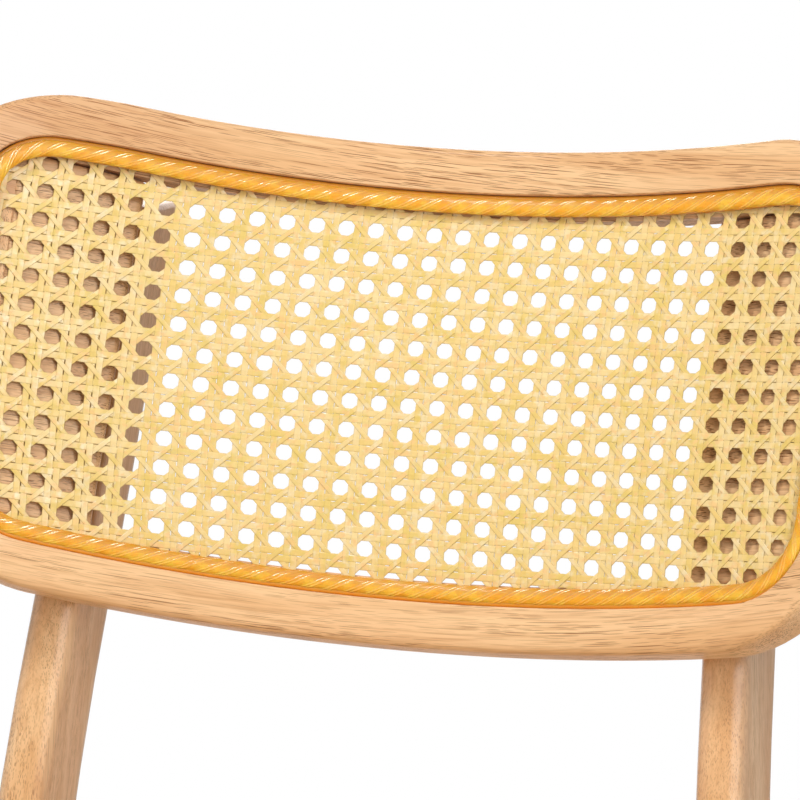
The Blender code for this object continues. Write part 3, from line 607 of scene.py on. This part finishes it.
def speckle_group():
    """Fine cloudy wear that darkens and dulls a plated or moulded surface."""
    tree, start, end = open_group(
        "speckle",
        [
            ("Vector", "NodeSocketVector"),
            ("Color", "NodeSocketColor"),
            ("Worn", "NodeSocketColor"),
            ("Roughness", "NodeSocketFloat"),
        ],
        [("Color", "NodeSocketColor"), ("Roughness", "NodeSocketFloat")],
    )
    cloud = noise_at(tree, start.outputs["Vector"], 900, 3)
    mixed = blend_colours(
        tree, remap(tree, cloud, 0.4, 0.7), start.outputs["Color"], start.outputs["Worn"]
    )
    tree.links.new(mixed, end.inputs["Color"])
    wear = remap(tree, cloud, 0.3, 0.7, 0.85, 1.2)
    rough = maths(tree, "MULTIPLY", start.outputs["Roughness"], wear)
    tree.links.new(rough, end.inputs["Roughness"])
    return tree


speckle = speckle_group()


def plain_material(name, colour, roughness, metallic):
    material, tree, shader = open_material(name)
    place = add_node(tree, "ShaderNodeTexCoord").outputs["Object"]
    worn = tuple(channel * 0.8 for channel in colour)
    flecked = add_node(tree, "ShaderNodeGroup", node_tree=speckle)
    tree.links.new(place, flecked.inputs["Vector"])
    flecked.inputs["Color"].default_value = (*colour, 1)
    flecked.inputs["Worn"].default_value = (*worn, 1)
    flecked.inputs["Roughness"].default_value = roughness
    tree.links.new(flecked.outputs["Color"], shader.inputs["Base Color"])
    tree.links.new(flecked.outputs["Roughness"], shader.inputs["Roughness"])
    shader.inputs["Metallic"].default_value = metallic
    return material


screw_nodes = []
glide_nodes = []
for side in side_names:
    for level in ("upper", "lower"):
        screw_nodes.append(f"back_screw_{level}_{side}")
    for end in ("front", "rear"):
        screw_nodes += [f"block_screw_{end}_{side}", f"seat_screw_{end}_{side}"]
        glide_nodes.append(f"glide_{end}_{side}")
finish_nodes(plain_material("zinc screw", (0.62, 0.62, 0.60), 0.3, 1), *screw_nodes)
finish_nodes(plain_material("glide plastic", (0.10, 0.065, 0.045), 0.45, 0), *glide_nodes)


# Cane.
# Six-way woven cane: pairs of upright and of level strands in plain weave, and two slanting
# ones that cut the holes' corners. It is laid wet in the rebate, so it dries tight.

cane_pitch = 0.0127
strand_width = 0.00292
strand_thickness = 0.00036
pair_offset = 0.1235
slant_width = 0.0021
slant = math.sqrt(0.5)
cane_samples = 6
tone_step = 0.6180339
tiny = 1e-6

# A strand of a pair climbs over one cross strand, dives under the next and comes back level.
# The starts and lengths of these moves are in shares of the pitch.
climb_start = 0.18
dive_start = 0.44
return_start = 0.68
climb_length = 0.14
dive_length = 0.12


def strand_profile(width, thickness):
    """Across a strand: flat below, crowned above, as (across, up) pairs."""
    half = width / 2
    return [
        (-half, -thickness * 0.5),
        (half, -thickness * 0.5),
        (half * 0.98, thickness * 0.2),
        (half * 0.82, thickness * 0.4),
        (half * 0.5, thickness * 0.5),
        (-half * 0.5, thickness * 0.5),
        (-half * 0.82, thickness * 0.4),
        (-half * 0.98, thickness * 0.2),
    ]


# Which of those points carry the strand's darker cut edge and the painted shade along its sides.
strand_edge_and_shade = [1, 1, 1, 0, 0, 0, 0, 1]


def pair_height(along, first):
    """Heights of a pair's strand, in thicknesses: over one of the cross pair, under the other."""
    share = along % 1.0
    rise = eased((share - climb_start) / climb_length)
    rise = rise - 2 * eased((share - dive_start) / dive_length)
    rise = rise + eased((share - return_start) / climb_length)
    return rise * 0.5 * (1 if first else -1)


def slant_height(along, first):
    """Heights of a slanting strand: over the weave for half of each pitch, under it for half."""
    wave = np.cos(2 * np.pi * along)
    return np.tanh(2.0 * wave) * (1 if first else -1)


def strand_runs(inside):
    """Start and end indices of each unbroken run of True."""
    padded = np.concatenate([[False], inside, [False]])
    change = np.flatnonzero(padded[1:] != padded[:-1])
    return list(zip(change[::2], change[1::2]))


def strand_lines(reach):
    """Each strand's kind, the line it follows in pitches, and whether it is first of its pair."""
    lines = []
    for index in range(-reach, reach + 1):
        middle = index + 0.5
        for first in (True, False):
            shift = -pair_offset if first else pair_offset
            lines.append(("upright", middle + shift, first))
            lines.append(("level", middle + shift, first))
    for index in range(-2 * reach, 2 * reach + 1):
        lines.append(("rising", index + 0.5, True))
        lines.append(("falling", index + 0.5, False))
    return lines


def strand_path(kind, line, first, along):
    """A strand's columns, rows and heights, its direction and its width."""
    fixed = np.full_like(along, line)
    if kind == "upright":
        return fixed, along, pair_height(along, not first), (0, 1), strand_width
    if kind == "level":
        return along, fixed, pair_height(along, first), (1, 0), strand_width
    if kind == "rising":
        return along, along + line, slant_height(along, True), (slant, slant), slant_width
    return along, line - along, slant_height(along, False), (slant, -slant), slant_width


def weave_mesh(name, half_width, half_height, inside, place, stretch):
    """Woven cane over a field, as one mesh of closed strands.

    inside(s, t) says where the sheet is, place(s, t, up) puts a point on the chair, and
    stretch(column, row) tells where a hole's middle lies on the sheet."""
    verts = []
    faces = []
    count = 0
    tones = []
    edge_and_shade_marks = []
    reach = int(max(half_width, half_height) / cane_pitch) + 3
    along = np.arange(-reach, reach + tiny, 1 / cane_samples)
    for number, (kind, line, first) in enumerate(strand_lines(reach)):
        column, row, up, run, width = strand_path(kind, line, first, along)
        s, t = stretch(column, row)
        profile = strand_profile(width, strand_thickness)
        sides = len(profile)
        for start, end in strand_runs(inside(s, t)):
            length = end - start
            if length < 2:
                continue
            rings = []
            for across, rise in profile:
                side_s = s[start:end] - run[1] * across
                side_t = t[start:end] + run[0] * across
                rings.append(place(side_s, side_t, up[start:end] * strand_thickness + rise))
            verts.append(np.stack(rings, 1).reshape(-1, 3))
            ring_starts = np.arange(length - 1)[:, None] * sides
            near = ring_starts + np.arange(sides)[None, :]
            beside = ring_starts + (np.arange(sides) + 1)[None, :] % sides
            quads = np.stack([near, near + sides, beside + sides, beside], -1)
            faces += (quads.reshape(-1, 4) + count).tolist()
            faces.append([count + side for side in range(sides)])
            faces.append([count + (length - 1) * sides + side for side in reversed(range(sides))])
            tones += [(number * tone_step) % 1.0] * (length * sides)
            edge_and_shade_marks += strand_edge_and_shade * length
            count += length * sides
    mesh = bpy.data.meshes.new(name)
    mesh.from_pydata(np.concatenate(verts).tolist(), [], faces)
    for label, values in (("strand_tone", tones), ("strand_edge_and_shade", edge_and_shade_marks)):
        mesh.attributes.new(label, "FLOAT", "POINT").data.foreach_set("value", values)
    mesh.update()
    return add_object(name, mesh)


# How deep the weave's middle lies behind the face, and the gap between its edge and the rim.
cane_depth = 0.0069
cane_edge = 0.0006

# How the weave lies in the back: its stretch, where its first hole is, in holes, and what its
# rows and columns gain or lose in metres as the sheet bows, fans and skews.
weave_stretch = (1.0045, 0.9950)
weave_start = (-0.114, -0.653)
column_squeeze = 0.0000156
row_bow = 0.0000628
weave_fan = 0.0000063
weave_skew = 0.0000850
column_bow = 0.0000039
row_squeeze = 0.0000100


def back_place(s, t, up):
    """Places on the woven sheet's curve, up being towards the sitter."""
    return back_point(s, t - back_dip_rate * (s * s - back_level), cane_depth - up)


def inside_back(s, t):
    """Which places of the sheet lie within the rim's pocket, its flare and droop taken off."""
    level = t - back_dip_rate * (s * s - back_level)
    half_width = back_half_width - back_rim - cane_edge
    half_height = back_half_height - back_rim - cane_edge
    narrow = s / flared(1.0, level)
    level = 2 * level - drooped(narrow, level)
    return rounded_inside(narrow, level, half_width, half_height, back_pocket_radius - cane_edge)


def stretch_back(column, row):
    """The sheet is pulled a little out of square as it is pressed into the curved rebate."""
    s = cane_pitch * (column * weave_stretch[0] + weave_start[0])
    s = s - column_squeeze * column**2 + row_bow * row**2 + weave_fan * column * row
    t = cane_pitch * (row * weave_stretch[1] + weave_start[1])
    t = t - weave_skew * column - column_bow * column**2 - row_squeeze * row**2
    return s, t


def mix_shaders(tree, share, first, second, output):
    """Two shaders mixed into a tree's output."""
    shares = {0: share, 1: first.outputs[0], 2: second.outputs[0]}
    mixer = add_node(tree, "ShaderNodeMixShader", shares)
    tree.links.new(mixer.outputs[0], tree.nodes[output].inputs[0])


def cane_material():
    """Pale glossy strands with olive and orange tints, painted cream highlights and brown edges.

    The brown is partly the strands' darker cut edge and partly painted shade along their sides.
    """
    material, tree, shader = open_material("woven cane")
    tone = add_node(tree, "ShaderNodeAttribute", attribute_name="strand_tone").outputs["Fac"]
    edge_and_shade = add_node(tree, "ShaderNodeAttribute", attribute_name="strand_edge_and_shade").outputs["Fac"]
    place = add_node(tree, "ShaderNodeTexCoord").outputs["Object"]
    mottle = noise_at(tree, place, 120, 3)
    glint_fleck = noise_at(tree, place, 300)
    blush = noise_at(tree, stretched(tree, place, (1, 1, 1.3)), 250)
    pale = (1.0, 0.790, 0.400, 1)
    straw = (0.940, 0.680, 0.225, 1)
    colour = blend_colours(tree, tone, pale, straw)
    olive = (0.88, 0.66, 0.17, 1)
    colour = blend_colours(tree, remap(tree, mottle, 0.46, 0.66, 0, 0.75), colour, olive)
    # Painted highlights: cream flecks, where the strands are also made glossier below.
    painted_glint_cream = (1.0, 0.88, 0.64, 1)
    colour = blend_colours(tree, remap(tree, glint_fleck, 0.50, 0.70, 0, 0.5), colour, painted_glint_cream)
    orange = (1.0, 0.66, 0.28, 1)
    colour = blend_colours(tree, remap(tree, blush, 0.54, 0.66, 0, 0.7), colour, orange)
    # The strands' edges: partly their darker cut edge, partly painted shade where they meet.
    edge_brown_and_shade = (0.43, 0.29, 0.07, 1)
    colour = blend_colours(tree, remap(tree, edge_and_shade, 0.35, 0.95, 0, 0.8), colour, edge_brown_and_shade)
    tree.links.new(colour, shader.inputs["Base Color"])
    rough = remap(tree, glint_fleck, 0.35, 0.62, 0.42, 0.24)
    tree.links.new(rough, shader.inputs["Roughness"])
    shader.inputs["Specular IOR Level"].default_value = 0.45
    lit_cream = (1.0, 0.95, 0.78, 1)
    lit = blend_colours(tree, 0.6, colour, lit_cream)
    glow = add_node(tree, "ShaderNodeBsdfTranslucent", {"Color": lit})
    mix_shaders(tree, 0.22, shader, glow, "Material Output")
    return material


cane = cane_material()
back_weave = weave_mesh(
    "back_woven_cane", back_half_width, back_half_height, inside_back, back_place, stretch_back
)
back_weave.data.materials.append(cane)
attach(back_weave, "root")
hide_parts("back_cane")

# The seat's field is flat and narrows to the rear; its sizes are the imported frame's.
seat_top = 0.455
seat_front = -0.27749
seat_rear = 0.17751
seat_front_half = 0.455 / 2
seat_rear_half = 0.326 / 2
seat_rim = 0.048
seat_pocket_radius = 0.030
seat_corner_steps = 12
seat_slope = (seat_front_half - seat_rear_half) / (seat_rear - seat_front)
seat_middle = (seat_front + seat_rear) / 2


def stretch_seat(column, row):
    """The seat is flat, so its weave stays square."""
    return column * cane_pitch, row * cane_pitch


def seat_place(s, t, up):
    """Places on the seat's flat sheet, up being towards the sitter."""
    return np.stack([s, t + seat_middle, seat_top - cane_depth + up], -1)


def seat_line(inset):
    """The pocket's corners, drawn in by an inset, from the front left anticlockwise."""
    front = seat_front + inset
    rear = seat_rear - inset
    side = inset * math.sqrt(1 + seat_slope**2)
    front_half = seat_front_half - seat_slope * inset - side
    rear_half = seat_rear_half + seat_slope * inset - side
    return [(-front_half, front), (front_half, front), (rear_half, rear), (-rear_half, rear)]


def rounded_points(corners, radius, steps):
    """Points round a polygon given anticlockwise, each corner turned to an arc."""
    points = []
    for index, corner in enumerate(corners):
        corner = Vector(corner)
        back = (Vector(corners[index - 1]) - corner).normalized()
        ahead = (Vector(corners[(index + 1) % len(corners)]) - corner).normalized()
        half_angle = back.angle(ahead) / 2
        centre = corner + (back + ahead).normalized() * radius / math.sin(half_angle)
        start = corner + back * radius / math.tan(half_angle) - centre
        turn = math.pi - 2 * half_angle
        for step in range(steps + 1):
            points.append(centre + Matrix.Rotation(turn * step / steps, 2) @ start)
    return points


def inside_seat(s, t):
    """Which places lie on the inner side of every short run of the pocket's outline."""
    corners = seat_line(seat_rim + cane_edge)
    outline = rounded_points(corners, seat_pocket_radius - cane_edge, seat_corner_steps)
    kept = np.ones(len(s), bool)
    place = np.stack([s, t + seat_middle], -1)
    for index, start in enumerate(outline):
        end = outline[(index + 1) % len(outline)]
        run = end - start
        side = run.x * (place[:, 1] - start.y) - run.y * (place[:, 0] - start.x)
        kept &= side >= 0
    return kept


seat_weave = weave_mesh(
    "seat_woven_cane",
    seat_front_half,
    (seat_rear - seat_front) / 2,
    inside_seat,
    seat_place,
    stretch_seat,
)
seat_weave.data.materials.append(cane)
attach(seat_weave, "root")
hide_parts("seat_cane")


# Cord.
# Amber plies in pairs, twisted round a core and laid over the cane's edge, whose cut ends they
# hide. Under the cord a bed of amber fills the rebate between the cord and the rim; it is
# painted darker, as painted shade in that crevice.

# The imported cord lies in the rebate on the imported cane's sheet, with a gap round each.
fit_gap = 0.0003
cane_sheet = 0.0016
cord_half = 0.0042

# The twist: its plies, the core under them, and how flat it lies.
cord_lift = 0.0048
cord_lay = 0.0376
cord_sides = 120
turn_samples = 44
line_smoothing = 6
ply_pairs = 4
ply_offset = 0.00305
ply_radius = 0.0007
ply_spread = math.radians(12)
cord_core = 0.0035
cord_flatness = 0.57
cord_inward = 0.0006
cord_bed_depth = rebate_depth - fit_gap - cane_sheet - fit_gap
cord_middle_depth = cord_bed_depth - cord_lift * cord_flatness
crest_height = ply_offset + ply_radius - cord_core
cord_corner_steps = 10
cord_step = 0.004
normal_length = 0.01

# The bed, wider on the rim's side than on the cane's and rising towards the rim.
bed_sides = 24
bed_half_width = 0.0048
bed_inner_half = 0.0034
bed_height = 0.0014
bed_lift = -0.0014
bed_tilt = 0.30


def line_marks(points):
    """How far along a closed line each of its points lies, and last its whole length."""
    steps = np.roll(points, -1, 0) - points
    return np.concatenate([[0], np.cumsum(np.linalg.norm(steps, axis=1))])


def even_steps(marks, values, count):
    """Values given at a closed line's points, read at even steps along it."""
    held = np.vstack([values, values[:1]])
    wanted = np.linspace(0, marks[-1], count, endpoint=False)
    return np.stack([np.interp(wanted, marks, held[:, axis]) for axis in range(3)], -1)


def smooth_closed(values, times):
    """Evens out the bends of a closed line."""
    for _ in range(times):
        values = (np.roll(values, 1, 0) + 2 * values + np.roll(values, -1, 0)) / 4
    return values


def cord_reach(angle):
    """How far the cord's surface lies from its middle: a core, and plies that lie in pairs."""
    reach = cord_core
    for pair in range(ply_pairs):
        for side in (-1, 1):
            ply = 2 * math.pi * pair / ply_pairs + side * ply_spread
            square = ply_radius**2 - (ply_offset * math.sin(angle - ply)) ** 2
            if square > 0:
                reach = max(reach, ply_offset * math.cos(angle - ply) + math.sqrt(square))
    return reach


def tube_faces(rows, ahead, sides, first):
    """Quads from each ring of a closed tube to the next; its points are numbered from first."""
    faces = []
    for side in range(sides):
        other = (side + 1) % sides
        near = [rows * sides + side, rows * sides + other]
        far = [ahead * sides + other, ahead * sides + side]
        faces += (np.stack(near + far, -1) + first).tolist()
    return faces


def twisted_cord(name, points, outward, material, replaced):
    """A cord and its bed along a closed line; outward are normals of the face."""
    marks = line_marks(points)
    count = round(marks[-1] / cord_lay) * turn_samples
    line = smooth_closed(even_steps(marks, points, count), line_smoothing)
    tangent = np.roll(line, -1, 0) - np.roll(line, 1, 0)
    tangent /= np.linalg.norm(tangent, axis=1)[:, None]
    normal = even_steps(marks, outward, count)
    normal = normal - (normal * tangent).sum(1)[:, None] * tangent
    normal /= np.linalg.norm(normal, axis=1)[:, None]
    across = np.cross(tangent, normal)
    phase = -2 * np.pi * np.arange(count) / turn_samples
    angles = [2 * np.pi * side / cord_sides for side in range(cord_sides)]
    reaches = [cord_reach(angle) for angle in angles]
    cord = []
    for angle, reach in zip(angles, reaches):
        out = cord_flatness * np.cos(phase + angle)[:, None] * normal
        cord.append(line + reach * (out + np.sin(phase + angle)[:, None] * across))
    bed = []
    for side in range(bed_sides):
        angle = 2 * np.pi * side / bed_sides
        wide = math.copysign(abs(math.sin(angle)) ** 0.5, math.sin(angle)) * bed_half_width
        wide = max(wide, -bed_inner_half)
        high = math.cos(angle) * bed_height + bed_lift + bed_tilt * max(wide, 0)
        bed.append(line + high * normal + wide * across)
    verts = [np.stack(ring, 1).reshape(-1, 3) for ring in (cord, bed)]
    rows = np.arange(count)
    ahead = (rows + 1) % count
    faces = tube_faces(rows, ahead, cord_sides, 0)
    faces += tube_faces(rows, ahead, bed_sides, count * cord_sides)
    mesh = bpy.data.meshes.new(name)
    mesh.from_pydata(np.concatenate(verts).tolist(), [], faces)
    crests = [(reach - cord_core) / crest_height for reach in reaches] * count
    crest = mesh.attributes.new("ply_crest", "FLOAT", "POINT")
    crest.data.foreach_set("value", crests + [-1.0] * (count * bed_sides))
    mesh.materials.append(material)
    mesh.shade_smooth()
    made = add_object(name, mesh)
    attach(made, "root")
    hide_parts(replaced)


def cord_material():
    """Amber resin over fibre, glossy on the plies and dull in the bed.

    Painted shade darkens it between the plies, in the bed and where it faces up and to the front.
    """
    material, tree, shader = open_material("amber cord")
    crest = add_node(tree, "ShaderNodeAttribute", attribute_name="ply_crest").outputs["Fac"]
    place = add_node(tree, "ShaderNodeTexCoord").outputs["Object"]
    cloud = noise_at(tree, place, 110, 3)
    fray = noise_at(tree, place, 700, 4)
    amber = (0.930, 0.420, 0.012, 1)
    honey = (0.960, 0.570, 0.045, 1)
    colour = blend_colours(tree, remap(tree, cloud, 0.38, 0.66), amber, honey)
    frayed = (0.720, 0.300, 0.010, 1)
    colour = blend_colours(tree, remap(tree, fray, 0.50, 0.66, 0, 0.4), colour, frayed)
    # Painted shade in the grooves between the plies.
    groove_shade = (0.640, 0.230, 0.006, 1)
    colour = blend_colours(tree, remap(tree, crest, 0.5, 0.0, 0, 0.15), colour, groove_shade)
    # The bed is painted darker amber: painted shade in the crevice beside the rim.
    bed_painted_shade = (0.700, 0.240, 0.006, 1)
    colour = blend_colours(tree, remap(tree, crest, -0.1, -0.9, 0, 0.85), colour, bed_painted_shade)
    # Painted shade: darker amber where the cord faces up and to the front.
    normal = add_node(tree, "ShaderNodeNewGeometry").outputs["Normal"]
    faces = add_node(tree, "ShaderNodeSeparateXYZ", {"Vector": normal}).outputs
    upward = remap(tree, faces["Z"], 0.12, 0.52)
    forward = remap(tree, faces["Y"], 0.05, -0.25)
    shaded = maths(tree, "MULTIPLY", maths(tree, "MULTIPLY", upward, forward), 0.75)
    facing_up_shade = (0.600, 0.250, 0.010, 1)
    colour = blend_colours(tree, shaded, colour, facing_up_shade)
    tree.links.new(colour, shader.inputs["Base Color"])
    tree.links.new(remap(tree, crest, 0.1, 0.7, 0.55, 0.22), shader.inputs["Roughness"])
    tree.links.new(remap(tree, crest, 0.2, 0.8, 0.08, 1), shader.inputs["Coat Weight"])
    shader.inputs["Coat Roughness"].default_value = 0.08
    shader.inputs["Coat IOR"].default_value = 1.7
    shader.inputs["Subsurface Weight"].default_value = 0.35
    shader.inputs["Subsurface Radius"].default_value = (1.0, 0.45, 0.08)
    shader.inputs["Subsurface Scale"].default_value = 0.002
    return material


cord_finish = cord_material()
cord_inset = fit_gap + cord_half + cord_inward
cord_half_width = back_half_width - back_rim - cord_inset
cord_half_height = back_half_height - back_rim - cord_inset
flat_corners = [
    (-cord_half_width, -cord_half_height),
    (cord_half_width, -cord_half_height),
    (cord_half_width, cord_half_height),
    (-cord_half_width, cord_half_height),
]


def fill_runs(line, step):
    """The points of a closed line with the straight runs between them filled in."""
    points = []
    for index, start in enumerate(line):
        end = line[(index + 1) % len(line)]
        pieces = max(math.ceil((end - start).length / step), 1)
        for piece in range(pieces):
            points.append(start.lerp(end, piece / pieces))
    return np.array([(point.x, point.y) for point in points])


flat_line = rounded_points(flat_corners, back_pocket_radius - cord_inset, cord_corner_steps)
flat_line = fill_runs(flat_line, cord_step)
cord_s = flared(flat_line[:, 0], flat_line[:, 1])
cord_level = drooped(flat_line[:, 0], flat_line[:, 1])
back_cord_line = back_point(cord_s, cord_level, cord_middle_depth)
back_cord_top = back_point(cord_s, cord_level, cord_middle_depth - normal_length)
back_normals = (back_cord_top - back_cord_line) / normal_length
twisted_cord("back_twisted_cord", back_cord_line, back_normals, cord_finish, "back_cord")

seat_corners = seat_line(seat_rim + cord_inset)
seat_flat = rounded_points(seat_corners, seat_pocket_radius - cord_inset, cord_corner_steps)
seat_flat = fill_runs(seat_flat, cord_step)
seat_level = np.full(len(seat_flat), seat_top - cord_middle_depth)
seat_cord_line = np.column_stack([seat_flat, seat_level])
seat_normals = np.tile(np.array([0.0, 0.0, 1.0]), (len(seat_flat), 1))
twisted_cord("seat_twisted_cord", seat_cord_line, seat_normals, cord_finish, "seat_cord")


# Studio.
# A plain pale floor, a white background that only the camera and gloss see, and soft lamps: one
# high on each side in front, and one behind that glows through the cane.

floor_reach = 6.0
floor_grey = (0.86, 0.86, 0.86, 1)
floor_dull = 0.9
white = (1, 1, 1, 1)

# The floor that the camera sees glows by itself: near the chair by this share, further away fully.
glow_near = 0.5
glow_far = 2.2
near_share = 0.6

# The room's light, from in front of the chair and from behind it.
front_light = 0.36
rear_light = 0.14


def studio_seen(tree):
    """Full for rays that see the studio itself: from the camera, off gloss and through glass."""
    path = add_node(tree, "ShaderNodeLightPath").outputs
    seen = maths(tree, "MAXIMUM", path["Is Camera Ray"], path["Is Glossy Ray"])
    return maths(tree, "MAXIMUM", seen, path["Is Transmission Ray"])


floor_corners = [(-1, -1, 0), (1, -1, 0), (1, 1, 0), (-1, 1, 0)]
floor_mesh = bpy.data.meshes.new("floor")
floor_mesh.from_pydata(
    [[reach * floor_reach for reach in corner] for corner in floor_corners], [], [(0, 1, 2, 3)]
)
floor = add_object("floor", floor_mesh)
floor_material, floor_tree, floor_shader = open_material("pale floor")
floor_shader.inputs["Base Color"].default_value = floor_grey
floor_shader.inputs["Roughness"].default_value = floor_dull
floor_place = add_node(floor_tree, "ShaderNodeTexCoord").outputs["Object"]
floor_far = add_node(floor_tree, "ShaderNodeVectorMath", {0: floor_place}, operation="LENGTH")
floor_fade = remap(floor_tree, floor_far.outputs["Value"], glow_near, glow_far, near_share, 1)
floor_seen = maths(floor_tree, "MULTIPLY", studio_seen(floor_tree), floor_fade)
floor_glow = add_node(floor_tree, "ShaderNodeEmission", {"Color": white, "Strength": 1.0})
mix_shaders(floor_tree, floor_seen, floor_shader, floor_glow, "Material Output")
floor_mesh.materials.append(floor_material)

world = bpy.data.worlds.new("studio")
bpy.context.scene.world = world
world.use_nodes = True
room_tree = world.node_tree
ambient = room_tree.nodes["Background"]
room = add_node(room_tree, "ShaderNodeTexCoord").outputs["Generated"]
toward_rear = add_node(room_tree, "ShaderNodeSeparateXYZ", {"Vector": room}).outputs["Y"]
ambient.inputs["Color"].default_value = white
room_light = remap(room_tree, toward_rear, -0.4, 0.6, front_light, rear_light)
room_tree.links.new(room_light, ambient.inputs["Strength"])
backdrop = add_node(room_tree, "ShaderNodeBackground", {"Color": white, "Strength": 1.0})
mix_shaders(room_tree, studio_seen(room_tree), ambient, backdrop, "World Output")

look_at = Vector((-0.004, 0.20596, 0.689))


def add_lamp(name, place, size, power, height=None):
    """A soft lamp that faces the backrest: a disc, or a rectangle where it has a height."""
    lamp = bpy.data.lights.new(name, "AREA")
    lamp.shape = "RECTANGLE" if height else "DISK"
    lamp.size = size
    if height:
        lamp.size_y = height
    lamp.energy = power
    made = add_object(name, lamp)
    made.location = place
    made.rotation_euler = (look_at - Vector(place)).to_track_quat("-Z", "Y").to_euler()


add_lamp("left key", (-0.72, -0.95, 2.40), 0.5, 21, 0.6)
add_lamp("right key", (0.885, -1.21, 1.48), 0.38, 19, 1.6)
add_lamp("glow", (-0.5, 2.3, 1.5), 1.4, 20)

camera_azimuth = math.radians(15.05)
camera_height = math.radians(6.40)
camera_roll = math.radians(2.888)
camera_distance = 2.141
camera_lens = 224.1
camera_sensor = 36
camera_nearest = 0.05
backward = Vector(
    (
        math.sin(camera_azimuth) * math.cos(camera_height),
        -math.cos(camera_azimuth) * math.cos(camera_height),
        math.sin(camera_height),
    )
)
rightward = Vector((math.cos(camera_azimuth), math.sin(camera_azimuth), 0))
upward = backward.cross(rightward)
rolled_right = rightward * math.cos(camera_roll) + upward * math.sin(camera_roll)
rolled_up = upward * math.cos(camera_roll) - rightward * math.sin(camera_roll)
camera_data = bpy.data.cameras.new("camera")
camera_data.lens = camera_lens
camera_data.sensor_width = camera_sensor
camera_data.clip_start = camera_nearest
camera = add_object("camera", camera_data)
turned = Matrix((rolled_right, rolled_up, backward)).transposed().to_4x4()
camera.matrix_world = Matrix.Translation(look_at + backward * camera_distance) @ turned
bpy.context.scene.camera = camera
bpy.context.scene.view_settings.view_transform = "Standard"
